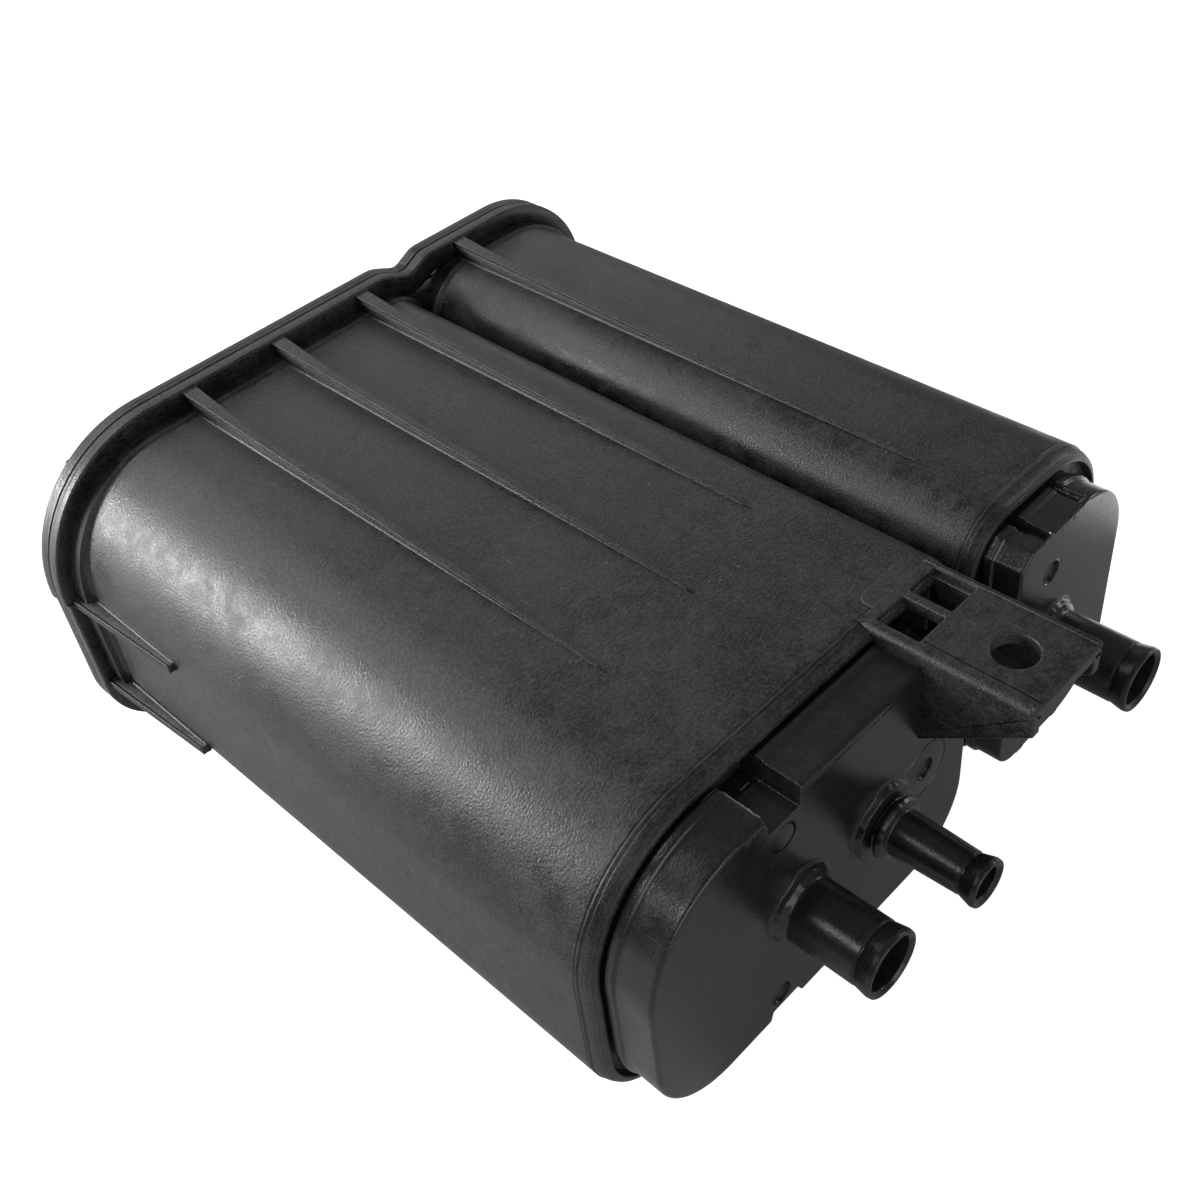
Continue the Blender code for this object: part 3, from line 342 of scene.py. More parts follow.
# A shallow round recess with a soft rim, as a turned profile that fills its hole in the
# face; the upper mark is only a narrow groove round a flat disc
def markProfile(name):
    radius, depth = marks["radius"], marks["depth"]
    corners = [(0, -depth), (radius - 0.0006, -depth, 0.0002), (radius - 0.0004, -0.0001, 0.0002),
               (radius, 0.00012, 0.0002), (radius + 0.0003, 0, 0.0002)]
    if name == "upper":
        wide = radius * 1.12
        corners = [(0, -0.0002), (wide - 0.0006, -0.0001, 0.0002), (wide - 0.0004, -depth, 0.0001),
                   (wide - 0.0001, -depth, 0.0001), (wide, 0.0001, 0.0002), (wide + 0.0003, 0, 0.0002)]
    if name == "face":
        ring = marks["ringRadius"]
        corners += [(ring - 0.0005, 0, 0.0001), (ring - 0.0002, -0.0004, 0.0001),
                    (ring + 0.0002, 0, 0.0001)]
    return roundedLine(corners + [(corners[-1][0] + 0.0002, 0)], 3)


# The flat face of a chamber, open at its marks and port bores
def chamberFace(loop, face, markNames, bores):
    patches, holes = [], []
    for name in markNames:
        x, z = markPlaces[name]
        grid = turnedGrid(markProfile(name), (x, face, z), 64)
        patches.append(gridPatch(grid))
        holes.append(grid[-1])
    for x, radius in bores:
        grid = turnedGrid(np.array([[radius, 0.0], [radius, -0.0004]]), (x, face, ports["height"]), 64)
        patches.append(gridPatch(grid))
        holes.append(grid[0])
    return patches + [capPatch(loop, *holes)]


# Each chamber is its foot, wall and front edge carried round its outline, less its recesses,
# and closed by its face
def mainChamber():
    outline, normals = roundedOutline(mainChamberCorners(), 0.0003)
    profile = chamberProfile(chamber["mainDepth"], chamber["mainEdge"])
    grid = carriedGrid(outline, normals, profile, notchRecess)
    bores = [(ports[name]["x"], ports[name]["tube"] - ports["wall"]) for name in ("tank", "purge")]
    face = chamberFace(grid[-1], -chamber["mainDepth"], ("upper", "lower", "face"), bores)
    return [gridPatch(grid), capPatch(grid[0])] + face


def ventChamber():
    outline, normals = roundedOutline(ventChamberCorners(), 0.0003)
    profile = chamberProfile(chamber["ventDepth"], chamber["ventEdge"])
    grid = carriedGrid(outline, normals, profile, slotRecess)
    bores = [(ports["vent"]["x"], ports["vent"]["tube"] - ports["wall"])]
    face = chamberFace(grid[-1], -chamber["ventDepth"], ("vent",), bores)
    return [gridPatch(grid), capPatch(grid[0])] + face


# Thin beads along the notch's edges, coloured pale as painted highlights: the glints along the edges

notchTop = body["height"] - chamber["topInset"]
notchFloor = notchTop - notch["depth"]
glintBeads = dict(radius=0.00025, sink=0.00008, wave=0.00010,
               lines=(((notch["left"] - 0.0004, -0.0185, notchTop),
                       (notch["left"] - 0.0002, -0.0052, notchTop)),
                      ((notch["left"] + 0.0017, -0.0190, notchFloor),
                       (notch["left"] + 0.0017, -0.0120, notchFloor)),
                      ((notch["left"] + 0.0060, -0.0062, notchFloor),
                       (notch["left"] + 0.0105, -0.0062, notchFloor)),
                      ((0.0420, -0.0048, notchTop), (0.0475, -0.0048, notchTop))))


# A half-sunk round bead along a line: a circle of points carried from start to end, which
# thins out at both ends and wanders a little from side to side
def beadGrid(start, end, rows=60, columns=10):
    start, end = np.array(start), np.array(end)
    share = np.linspace(0, 1, rows)[:, None]
    ahead = (end - start) / np.linalg.norm(end - start)
    side, up = np.cross(ahead, (0, 0, 1)), np.array([0, 0, 1])
    angle = np.linspace(0, 2 * math.pi, columns, endpoint=False)[None]
    radius = glintBeads["radius"] * np.sin(math.pi * np.clip(share, 0.002, 0.998)) ** 0.3
    radius = radius * (1 + 0.25 * np.sin(41 * share) * np.sin(17 * share))
    wander = glintBeads["wave"] * np.sin(23 * share + 1) * np.sin(9 * share)
    middle = start + (end - start) * share + wander * side - glintBeads["sink"] * up
    sideways, upwards = radius * np.cos(angle), radius * np.sin(angle)
    return middle[:, None] + sideways[..., None] * side + upwards[..., None] * up


# One capped bead for each line
def makeGlintBeads():
    patches = []
    for start, end in glintBeads["lines"]:
        grid = beadGrid(start, end)
        patches += [gridPatch(grid), capPatch(grid[0]), capPatch(grid[-1])]
    return patches


# Hose ports

ports = dict(height=0.049, wall=0.0016, bead=0.0055, lipRound=0.0005, boreDepth=0.0165, lumps=0.012,
             tank=dict(x=0.0595, face=-0.020, length=0.0292, tube=0.0095, tip=0.0100, flare=0.0030),
             purge=dict(x=0.0945, face=-0.020, length=0.0335, tube=0.0064, tip=0.0073, flare=0.0064,
                        widen=0.0006),
             vent=dict(x=0.1822, face=-0.017, length=0.0306, tube=0.0097, tip=0.0103, flare=0.0030))


# From the bore's end out to the tip, back over the flared bead and its groove to the foot
def portProfile(size, collared):
    tube, tip, length = size["tube"], size["tip"], size["length"]
    bore = tube - ports["wall"]
    beadFoot = length - ports["bead"]
    corners = [(0, -ports["boreDepth"]), (bore, -ports["boreDepth"], 0.0005), (bore, length - 0.0009, 0.0004),
               (tip - 0.0011, length, 0.0004), (tip - 0.0002, length, ports["lipRound"]),
               (tip, length - 0.0015, 0.0006), (tube - 0.0001, beadFoot + 0.0004, 0.0008),
               (tube - 0.0004, beadFoot + 0.0002, 0.0001), (tube - 0.0004, beadFoot - 0.0002, 0.0001),
               (tube, beadFoot - 0.0004, 0.0002)]
    if collared:
        foot = tube + size["widen"]
        corners += [(foot, 0.0068, 0.0006), (0.0091, 0.0062, 0.0005), (0.0098, 0.0050, 0.0006),
                    (0.0091, 0.0040, 0.0005), (foot + 0.0006, 0.0034, 0.0004),
                    (foot + 0.0009, 0.0026, 0.0004), (0.0115, 0.0021, 0.0007), (0.0124, 0.0004, 0.0006),
                    (0.0136, 0.00005, 0.0008)]
    else:
        flare = size["flare"]
        corners += [(tube, flare * 1.15, 0.0014), (tube + flare * 0.55, flare * 0.62, 0.0012),
                    (tube + flare * 0.72, 0.0004, 0.0008), (tube + flare * 1.1, 0.00005, 0.0008)]
    last = corners[-1]
    return roundedLine(corners + [(last[0] + 0.0006, -0.0006, 0.0002), (last[0] - 0.0010, -0.0012)])


# The collars are uneven: their radius changes with the angle by three added waves, between
# the face and the collar's end
def lumpyCollar(grid, centre, end):
    across, high = grid[..., 0] - centre[0], grid[..., 2] - centre[2]
    height, angle = centre[1] - grid[..., 1], np.arctan2(high, across)
    window = softWindow(height, 0.0004, end, 0.0006) * (np.hypot(across, high) > ports["purge"]["tube"])
    wave = (np.sin(5 * angle + 900 * height) + 0.7 * np.sin(11 * angle + 1.3)
            + 0.5 * np.sin(23 * angle - 600 * height))
    swell = 1 + ports["lumps"] * window * wave
    grid[..., 0], grid[..., 2] = centre[0] + across * swell, centre[2] + high * swell
    return grid


# Each port's profile turned about its own line, its collar made uneven out to the flare's end
def hosePorts():
    patches = []
    for name in ("tank", "purge", "vent"):
        size = ports[name]
        centre = (size["x"], size["face"], ports["height"])
        grid = turnedGrid(portProfile(size, name == "purge"), centre, 160)
        patches.append(gridPatch(lumpyCollar(grid, centre, size["flare"])))
    return patches


# Flange round the open end

flange = dict(start=0.230, thickness=0.005, topLeft=0.050, lowLeft=0.027, right=0.038, dip=0.0043,
              dipLeft=0.0104, dipRight=0.0086, leftRadius=0.013, rightRadius=0.009, lowRadius=0.0050,
              edge=0.0011)
web = dict(left=0.0165, right=0.0225, margin=0.003, corner=0.002, edge=0.0002)


# The flange's outline as corners (x, z, radius), with a V-shaped dip above and below between
# the lobes and a small step in the left edge
def flangeCorners():
    rise, top = overhang["rise"], body["height"] + overhang["rise"]
    left, right = -overhang["left"], bodyRight + overhang["right"]
    middle = webMiddle + (flange["dipLeft"] - flange["dipRight"]) / 2
    dipLeft, dipRight = middle - flange["dipLeft"], middle + flange["dipRight"]
    dip, bend, step = flange["dip"], flange["lowRadius"], overhang["step"]
    stepHeight = top - flange["topLeft"] - step
    return [(left, -rise, flange["lowLeft"]), (dipLeft, -rise, flange["leftRadius"]),
            (middle, dip - rise, bend), (dipRight, -rise, flange["rightRadius"]),
            (right, -rise, flange["right"]),
            (right, top, flange["right"]), (dipRight, top, flange["rightRadius"]),
            (middle, top - dip, bend), (dipLeft, top, flange["leftRadius"]),
            (left - step, top, flange["topLeft"]),
            (left - step, stepHeight, 0.0004), (left, stepHeight - step, 0.0004)]


# The small step in the rim keeps nearly all its points in place, so that insets don't cross
def rimRecess(outline, normals, profile):
    step = body["height"] + overhang["rise"] - flange["topLeft"] - 1.5 * overhang["step"]
    near = (np.abs(outline[:, 1] - step) < 1.3 * overhang["step"]) & (outline[:, 0] < 0)
    return near[None] * np.minimum(0, profile[:, :1] + 0.0003)


# The rim's section, from the front face over the rounded edge to the welded seam and back
def housingFlange():
    outline, normals = roundedOutline(flangeCorners(), 0.0012)
    start, end, edge = flange["start"], flange["start"] + flange["thickness"], flange["edge"]
    profile = roundedLine([(-0.0075, start), (-edge - 0.0006, start, 0.0002), (-0.0001, start, edge),
                           (0, start + 0.0025, 0.0004), (-0.0002, start + 0.0036, 0.0004),
                           (-0.0002, end - 0.0003, 0.0002), (-0.0012, end, 0.0003), (-0.0075, end, 0),
                           (-0.0075, start)], 6)
    return [gridPatch(carriedGrid(outline, normals, profile, rimRecess))]


# The plate that closes the ring where the lobes' outlines leave it open
def webPlate(low, high):
    plate = rectangleOutline(body["mainWidth"] - web["left"], ventLeft + web["right"], web["margin"],
                             body["height"] - web["margin"], web["corner"])
    return platePatches(plate, [], low, high, web["edge"],
                        lambda a, b, level: np.stack([a, level, b], -1))


# Wedge ribs

ribs = dict(places=((0.0565, 0.0387), (0.0928, 0.0407), (0.1294, 0.0516), (0.1756, 0.0238)),
            heights=(0.0002, 0.0061), near=(0.0012, 0.0019), far=(0.0012, 0.0034), taper=0.0018,
            taperShare=0.4, flareLength=0.034, edge=0.00022, foot=0.00022, footHigh=0.0004,
            groove=0.00022)
sideRibs = dict(heights=(0.0185, 0.0565), length=0.053, height=0.0055, tipHeight=0.0022, half=0.0015)


# A rib's section has a low foot, upright sides with a groove below the rounded top edges, and
# a flat top. The height changes in a straight line from the tip to the flange, near and far
# give each side's distance from the middle, and where the rib is low all details shrink.
def ridgeGrid(start, end, near, far, heights, blunt, place, rows=60):
    edge = ribs["edge"]
    share = np.linspace(0, 1, rows)
    near, far = near(share)[:, None], far(share)[:, None]
    height = (heights[0] + (heights[1] - heights[0]) * share)[:, None]
    arc = np.linspace(0, 0.5 * math.pi, 6)
    foot, footHigh, groove = ribs["foot"], ribs["footHigh"], ribs["groove"]
    across = np.concatenate([[-foot, -foot, 0.0001 - foot, 0.0002 - foot, 0.00005, 0.0001, 0.0001,
                              groove, groove, 0], edge * (1 - np.cos(arc)), [edge + 0.0003]])
    high = np.array([0.0] * 6 + [1.0] * (len(arc) + 5))
    up = np.concatenate([[-0.0008, footHigh - 0.0002, footHigh - 0.00005, footHigh, footHigh + 0.00005,
                          footHigh + 0.0003, -0.0012, -0.0010, -0.0007, -0.0005],
                         edge * (np.sin(arc) - 1), [0]])
    scale = np.clip(height / 0.0030, 0.2, 1)
    inward = across * scale
    level = high * height + up * scale
    along = start + (end - start) * share[:, None] + 0 * inward
    grid = np.concatenate([np.stack([inward - near, level, along], -1),
                           np.stack([far - inward, level, along], -1)[:, ::-1]], 1)
    if blunt:                                            # a short rounded nose in front of the first row
        nose = grid[:1].copy()
        nose[..., 0] *= 0.8
        nose[..., 1] = nose[..., 1] * 0.86 - 0.0001
        nose[..., 2] -= edge * 0.6
        sunk = nose.copy()
        sunk[..., 0] *= 0.9
        sunk[..., 1] = np.minimum(sunk[..., 1] * 0.6, 0.0012) - 0.0006
        sunk[..., 2] -= edge * 0.25
        grid = np.concatenate([sunk, nose, grid])
    return place(grid[..., 0], grid[..., 1], grid[..., 2])


# The far side of a top or bottom rib closes in towards its tip and flares out in front of the
# flange; these ribs stand on the drafted lobes, the side ribs on the straight walls
def wedgeRibs():
    patches = []
    end, foot = body["length"] + 0.0004, body["length"] - shoulder["length"]
    near = lambda share: ribs["near"][0] + (ribs["near"][1] - ribs["near"][0]) * share
    for x, start in ribs["places"]:
        flare = ribs["flareLength"] / (end - start)
        far = lambda share: (ribs["far"][0] - ribs["taper"] * np.clip(1 - share / ribs["taperShare"], 0, 1)
                             + (ribs["far"][1] - ribs["far"][0]) * np.clip((share - 1) / flare + 1, 0, 1))
        for surface, side in ((body["height"], 1), (0, -1)):
            base = lambda y: surface + side * draft["rise"] * np.clip(y / foot, 0, 1)
            grid = ridgeGrid(start, end, near, far, ribs["heights"], False,
                             lambda a, u, y: np.stack([x + a, y, base(y) + side * u], -1))
            patches += [gridPatch(grid), capPatch(grid[0]), capPatch(grid[-1])]
    start = body["length"] - sideRibs["length"]
    for surface, side in ((0, -1), (bodyRight, 1)):
        for z in sideRibs["heights"]:
            half = lambda share: sideRibs["half"] + 0 * share
            grid = ridgeGrid(start, end, half, half, (sideRibs["tipHeight"], sideRibs["height"]), True,
                             lambda a, u, y: np.stack([surface + side * u, y, z + a], -1))
            patches += [gridPatch(grid), capPatch(grid[0]), capPatch(grid[-1])]
    return patches


# Bracket

bracket = dict(left=0.1099, width=0.0312, reach=0.0516, thickness=0.0038, lift=0.0005, edge=0.0005,
               leftEdge=0.0022, skirt=0.0085, side=0.0032, setback=0.0003, footDrop=0.031,
               holeRadius=0.0062, holeSetback=0.0151)
windows = dict(front=0.0163, rear=0.003, leftMargin=0.0036, rightMargin=0.0018, bar=0.003, corner=0.0005)
pad = dict(left=0.0066, right=0.0036, length=0.006, corner=0.0035)
trim = dict(lineLeft=0.0040, lineWidth=0.0004, lineHigh=0.00006, margin=0.0006, rimWidth=0.0015,
            rimHigh=0.0004)


# A plate between two levels: each outline is carried down from its rounded upper edge, and the
# flat areas are filled between the outer outline and the holes. place turns (a, b, level) to
# (x, y, z).
def platePatches(outer, holes, low, high, edge, place, lowEdge=0.0002, wideEdge=None):
    arc = np.linspace(0, 0.5 * math.pi, 9)[:, None]
    patches, tops, bottoms = [], [], []
    for number, (outline, normals) in enumerate([outer] + holes):
        side = 1 if number == 0 else -1                  # a hole's edge is rounded into the hole
        radius = np.full(len(outline), edge)
        if wideEdge and number == 0:                     # a wider rounding where the outline faces -a
            radius = edge + (wideEdge - edge) * smoothStep(-normals[:, 0])
        one = np.ones(len(outline))
        inward = np.vstack([radius + 0.0003, radius * (1 - np.sin(arc)), one * lowEdge * (1 - np.cos(arc)),
                            one * (lowEdge + 0.0003)])
        level = np.vstack([one * high, high - radius * (1 - np.cos(arc)),
                           one * (low + lowEdge * (1 - np.sin(arc))), one * low])
        flat = outline[None] - side * inward[..., None] * normals[None]
        grid = place(flat[..., 0], flat[..., 1], level)
        patches.append(gridPatch(grid))
        tops.append(grid[0])
        bottoms.append(grid[-1])
    return patches + [capPatch(*tops), capPatch(*bottoms)]


# A circle of points and the direction from its centre at each
def circleOutline(x, y, radius, columns=64):
    angle = np.linspace(0, 2 * np.pi, columns, endpoint=False)
    spokes = np.stack([np.cos(angle), np.sin(angle)], axis=1)
    return np.array([x, y]) + radius * spokes, spokes


# A rectangle with the same corner radius all round
def rectangleOutline(left, right, low, high, corner):
    return roundedOutline([(left, low, corner), (right, low, corner), (right, high, corner),
                           (left, high, corner)], 0.001)


# The plate with its two windows and the bolt hole
def bracketPlate():
    left, right = bracket["left"], bracket["left"] + bracket["width"]
    high = body["height"] + bracket["lift"]
    low = high - bracket["thickness"]
    reach = bracket["reach"]
    windowLeft, windowRight = left + windows["leftMargin"], right - windows["rightMargin"]
    width = (windowRight - windowLeft - windows["bar"]) / 2
    front, rear, middle = -windows["front"], -windows["rear"], left + bracket["width"] / 2
    holes = [rectangleOutline(start, start + width, front, rear, windows["corner"])
             for start in (windowLeft, windowRight - width)]
    holes.append(circleOutline(middle, bracket["holeSetback"] - reach, bracket["holeRadius"]))
    flatPlace = lambda a, b, level: np.stack([a, b, level], -1)
    plate = roundedOutline([(left, -reach, 0.0018), (right, -reach, 0.0006), (right, 0.0006, 0.0003),
                            (left, 0.0006, 0.0003)], 0.001)
    return platePatches(plate, holes, low, high, bracket["edge"], flatPlace, wideEdge=bracket["leftEdge"])


# A side wall under the plate, deep at the housing and shallow at the tip
def gussets():
    high = body["height"] + bracket["lift"] - bracket["thickness"] / 2
    slope = (bracket["footDrop"] - bracket["skirt"]) / (bracket["reach"] - chamber["mainDepth"])
    rear = -0.003
    lowTip = body["height"] - bracket["skirt"]
    lowRear = lowTip - slope * (rear + bracket["reach"])
    shape = [(-bracket["reach"], lowTip, 0.0006), (rear, lowRear, 0.0006), (rear, high, 0.0006),
             (-bracket["reach"], high, 0.0006)]
    patches = []
    right = bracket["left"] + bracket["width"]
    for left in (bracket["left"] + bracket["setback"], right - bracket["side"] - bracket["setback"]):
        wallPlace = lambda a, b, level: np.stack([level, a, b], -1)
        patches += platePatches(roundedOutline(shape, 0.001), [], left, left + bracket["side"], 0.0005,
                                wallPlace, 0.0005)
    return patches


# Raised details on the bracket: the pad behind it, a thin line and the right rim
def bracketTrim():
    left, right = bracket["left"], bracket["left"] + bracket["width"]
    high = body["height"] + bracket["lift"]
    flatPlace = lambda a, b, level: np.stack([a, b, level], -1)
    corner = pad["corner"]
    shape = [(left + pad["left"], -0.001, 0.0004), (right - pad["right"], -0.001, 0.0004),
             (right - pad["right"], pad["length"], corner), (left + pad["left"], pad["length"], corner)]
    padOutline = roundedOutline(shape, 0.0005)
    patches = platePatches(padOutline, [], high - 0.002, high - 0.0001, 0.0003, flatPlace)
    lineLeft = left + trim["lineLeft"]
    front, rear = -bracket["reach"] + trim["margin"], -windows["front"] - trim["margin"]
    line = rectangleOutline(lineLeft, lineLeft + trim["lineWidth"], front, rear, 0.0001)
    patches += platePatches(line, [], high - 0.001, high + trim["lineHigh"], 0.00005, flatPlace)
    rim = rectangleOutline(right - trim["rimWidth"], right, -bracket["reach"], 0.0004, 0.0005)
    patches += platePatches(rim, [], high - 0.002, high + trim["rimHigh"], 0.0004, flatPlace)
    return patches


flangeWeb = webPlate(flange["start"] + 0.0001, flange["start"] + flange["thickness"] - 0.0005)
housingPieces = dict(
    body=meshPiece("housing_body", housingWalls() + housingFlange() + flangeWeb),
    ribs=meshPiece("wedge_ribs", wedgeRibs()),
    chambers=meshPiece("end_chambers", mainChamber() + ventChamber()),
    glintBeads=meshPiece("painted_glint_beads", makeGlintBeads()),
    ports=meshPiece("hose_ports", hosePorts()),
    bracket=meshPiece("bracket", bracketPlate() + gussets() + bracketTrim()))
for piece in housingPieces.values():
    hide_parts("canister_housing")
    print(piece.name, len(piece.data.polygons), "faces")

# End cover

cover = dict(start=0.2353, flange=0.0047, pan=0.014, panInset=0.0018, panEdge=0.003, barHigh=0.0022,
             barWidth=0.003, barMargin=0.0078, barPitch=0.034, spread=0.037125)


# The cover's rim, from the seam over the rounded edge to its back face
def coverRim():
    outline, normals = roundedOutline(flangeCorners(), 0.0012)
    start, end = cover["start"], cover["start"] + cover["flange"]
    profile = roundedLine([(-0.008, start), (-0.0011, start, 0.0002), (-0.0003, start + 0.0003, 0.0002),
                           (-0.0002, start + 0.0014, 0.0004), (0, start + 0.0024, 0.0004), (0, end, 0.0008),
                           (-0.0018, end, 0.0002), (-0.008, end, 0), (-0.008, start)], 6)
    return [gridPatch(carriedGrid(outline, normals, profile, rimRecess))]


# The pan is the figure of both lobes, carried back with a fillet at the rim and a rounded back
# edge
def coverPan():
    outline, normals = roundedOutline(bodyCorners(), 0.0012)
    start = cover["start"] + cover["flange"]
    back = start + cover["pan"]
    inset, edge = -cover["panInset"], cover["panEdge"]
    profile = roundedLine([(inset, start - 0.001), (inset, back - 0.005, 0.0002), (inset, back, edge),
                           (inset - edge - 0.0006, back)], 10)
    foot = roundedLine([(inset + 0.0016, start - 0.0004), (inset + 0.0015, start, 0.0002),
                        (inset, start + 0.0002, 0.0010), (inset, start + 0.003)], 6)
    grid = carriedGrid(outline, normals, np.vstack([foot, profile[1:]]))
    return [gridPatch(grid), capPatch(grid[0]), capPatch(grid[-1])]


# Stiffening bars on the back: upright ones beside each spring seat and two across
def coverBars():
    back = cover["start"] + cover["flange"] + cover["pan"]
    margin, half = cover["barMargin"], cover["barWidth"] / 2
    middle, pitch = body["height"] / 2, cover["barPitch"] / 2
    seats = [body["mainWidth"] / 2 - cover["spread"], body["mainWidth"] / 2 + cover["spread"],
             ventLeft + body["ventWidth"] / 2]
    backPlace = lambda a, b, level: np.stack([a, level, b], -1)
    low, high = margin + half, body["height"] - margin - half
    patches = []
    for seat in seats:
        for x in (seat - pitch, seat + pitch):
            bar = rectangleOutline(x - half, x + half, low, high, half * 0.6)
            patches += platePatches(bar, [], back - 0.001, back + cover["barHigh"], 0.0006, backPlace)
    for z in (middle - pitch, middle + pitch):
        bar = rectangleOutline(margin, bodyRight - margin, z - half, z + half, half * 0.6)
        patches += platePatches(bar, [], back - 0.001, back + cover["barHigh"] - 0.0003, 0.0006, backPlace)
    return patches


coverWeb = webPlate(cover["start"] + 0.0002, cover["start"] + cover["flange"] - 0.0001)
coverPiece = meshPiece("end_cover_moulding", coverRim() + coverWeb + coverPan() + coverBars())
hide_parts("end_cover")
print("cover made", len(coverPiece.data.polygons), "faces")


# Shared shader effects

# A node group with named sockets: inputs are (label, kind, value), outputs (label, kind)
def newGroup(name, inputs, outputs):
    group = bpy.data.node_groups.new(name, "ShaderNodeTree")
    for label, kind, value in inputs:
        socket = group.interface.new_socket(label, in_out="INPUT", socket_type=kind)
        if value is not None:
            socket.default_value = value
    for label, kind in outputs:
        group.interface.new_socket(label, in_out="OUTPUT", socket_type=kind)
    return group, group.nodes.new("NodeGroupInput"), group.nodes.new("NodeGroupOutput")


# A node with its settings and the values of its input sockets
def addNode(tree, kind, values=None, **settings):
    node = tree.nodes.new(kind)
    for key, value in settings.items():
        setattr(node, key, value)
    for key, value in (values or {}).items():
        node.inputs[key].default_value = value
    return node


# Remaps a value from one span to another, held at the ends
def mapSpan(tree, source, low, high, newLow, newHigh):
    node = addNode(tree, "ShaderNodeMapRange", {"From Min": low, "From Max": high,
                                                "To Min": newLow, "To Max": newHigh})
    tree.links.new(source, node.inputs["Value"])
    return node.outputs["Result"]


# One sum or product; each side is a number or another node's output
def mathNode(tree, operation, first, second):
    node = addNode(tree, "ShaderNodeMath", operation=operation)
    for socket, value in zip(node.inputs, (first, second)):
        if isinstance(value, (int, float)):
            socket.default_value = value
        else:
            tree.links.new(value, socket)
    return node.outputs[0]


# Layered noise about 0.5, as many cells to the metre as the scale
def noiseNode(tree, vector, scale, detail, roughness=0.5):
    node = addNode(tree, "ShaderNodeTexNoise", {"Scale": scale, "Detail": detail, "Roughness": roughness})
    tree.links.new(vector, node.inputs["Vector"])
    return node.outputs["Fac"]


# Fine moulded grain, short fibre streaks in it, and the broad mottling of its gloss
def makeGrainGroup():
    group, source, sink = newGroup("moulded grain", [("Vector", "NodeSocketVector", None),
                                                     ("Grain Scale", "NodeSocketFloat", 1550.0)],
                                   [("Height", "NodeSocketFloat"), ("Fine", "NodeSocketFloat"),
                                    ("Mottle", "NodeSocketFloat")])
    place = source.outputs["Vector"]
    fine = addNode(group, "ShaderNodeTexNoise", {"Detail": 3.0, "Roughness": 0.65})
    group.links.new(place, fine.inputs["Vector"])
    group.links.new(source.outputs["Grain Scale"], fine.inputs["Scale"])
    lay = addNode(group, "ShaderNodeMapping", {"Rotation": (0.0, 0.0, math.radians(45)),
                                               "Scale": (0.5, 1.0, 1.0)})
    group.links.new(place, lay.inputs["Vector"])
    fibres = noiseNode(group, lay.outputs["Vector"], 1450.0, 3.0, 0.6)
    height = mathNode(group, "ADD", fine.outputs["Fac"], mathNode(group, "MULTIPLY", fibres, 0.8))
    group.links.new(height, sink.inputs["Height"])
    flecks = mathNode(group, "ADD", mathNode(group, "MULTIPLY", fine.outputs["Fac"], 0.5),
                      mathNode(group, "MULTIPLY", fibres, 0.5))
    group.links.new(mapSpan(group, flecks, 0.465, 0.56, 0.0, 1.0), sink.inputs["Fine"])
    cloud = noiseNode(group, place, 26.0, 6.0, 0.66)
    blotch = noiseNode(group, place, 150.0, 5.0, 0.70)
    mottle = mathNode(group, "ADD", mathNode(group, "MULTIPLY", cloud, 0.5),
                      mathNode(group, "MULTIPLY", blotch, 0.5))
    group.links.new(mottle, sink.inputs["Mottle"])
    return group


# A mask that is high on sharp convex edges, broken up by noise: edge wear, and also a painted highlight along
# the edges
def makeWearAndHighlightGroup():
    group, source, sink = newGroup("edge wear and painted highlight", [("Vector", "NodeSocketVector", None),
                                                 ("Reach", "NodeSocketFloat", 0.56)],
                                   [("Mask", "NodeSocketFloat")])
    geometry = group.nodes.new("ShaderNodeNewGeometry")
    span = addNode(group, "ShaderNodeMapRange", {"From Min": 0.505})
    group.links.new(geometry.outputs["Pointiness"], span.inputs["Value"])
    group.links.new(source.outputs["Reach"], span.inputs["From Max"])
    broken = mapSpan(group, noiseNode(group, source.outputs["Vector"], 260.0, 4.0, 0.7), 0.35, 0.6, 0.25, 1.0)
    group.links.new(mathNode(group, "MULTIPLY", span.outputs["Result"], broken), sink.inputs["Mask"])
    return group


# Painted top light: a mask on faces turned upwards, a little uneven, where the colour is painted lighter as
# if lit from above
def makePaintedTopLightGroup():
    group, source, sink = newGroup("paintedTopLight", [("Vector", "NodeSocketVector", None)],
                                   [("Mask", "NodeSocketFloat")])
    geometry = group.nodes.new("ShaderNodeNewGeometry")
    parts = group.nodes.new("ShaderNodeSeparateXYZ")
    group.links.new(geometry.outputs["Normal"], parts.inputs["Vector"])
    upward = mapSpan(group, parts.outputs["Z"], 0.45, 0.85, 0.0, 1.0)
    uneven = mapSpan(group, noiseNode(group, source.outputs["Vector"], 240.0, 3.0), 0.3, 0.6, 0.8, 1.0)
    group.links.new(mathNode(group, "MULTIPLY", upward, uneven), sink.inputs["Mask"])
    return group


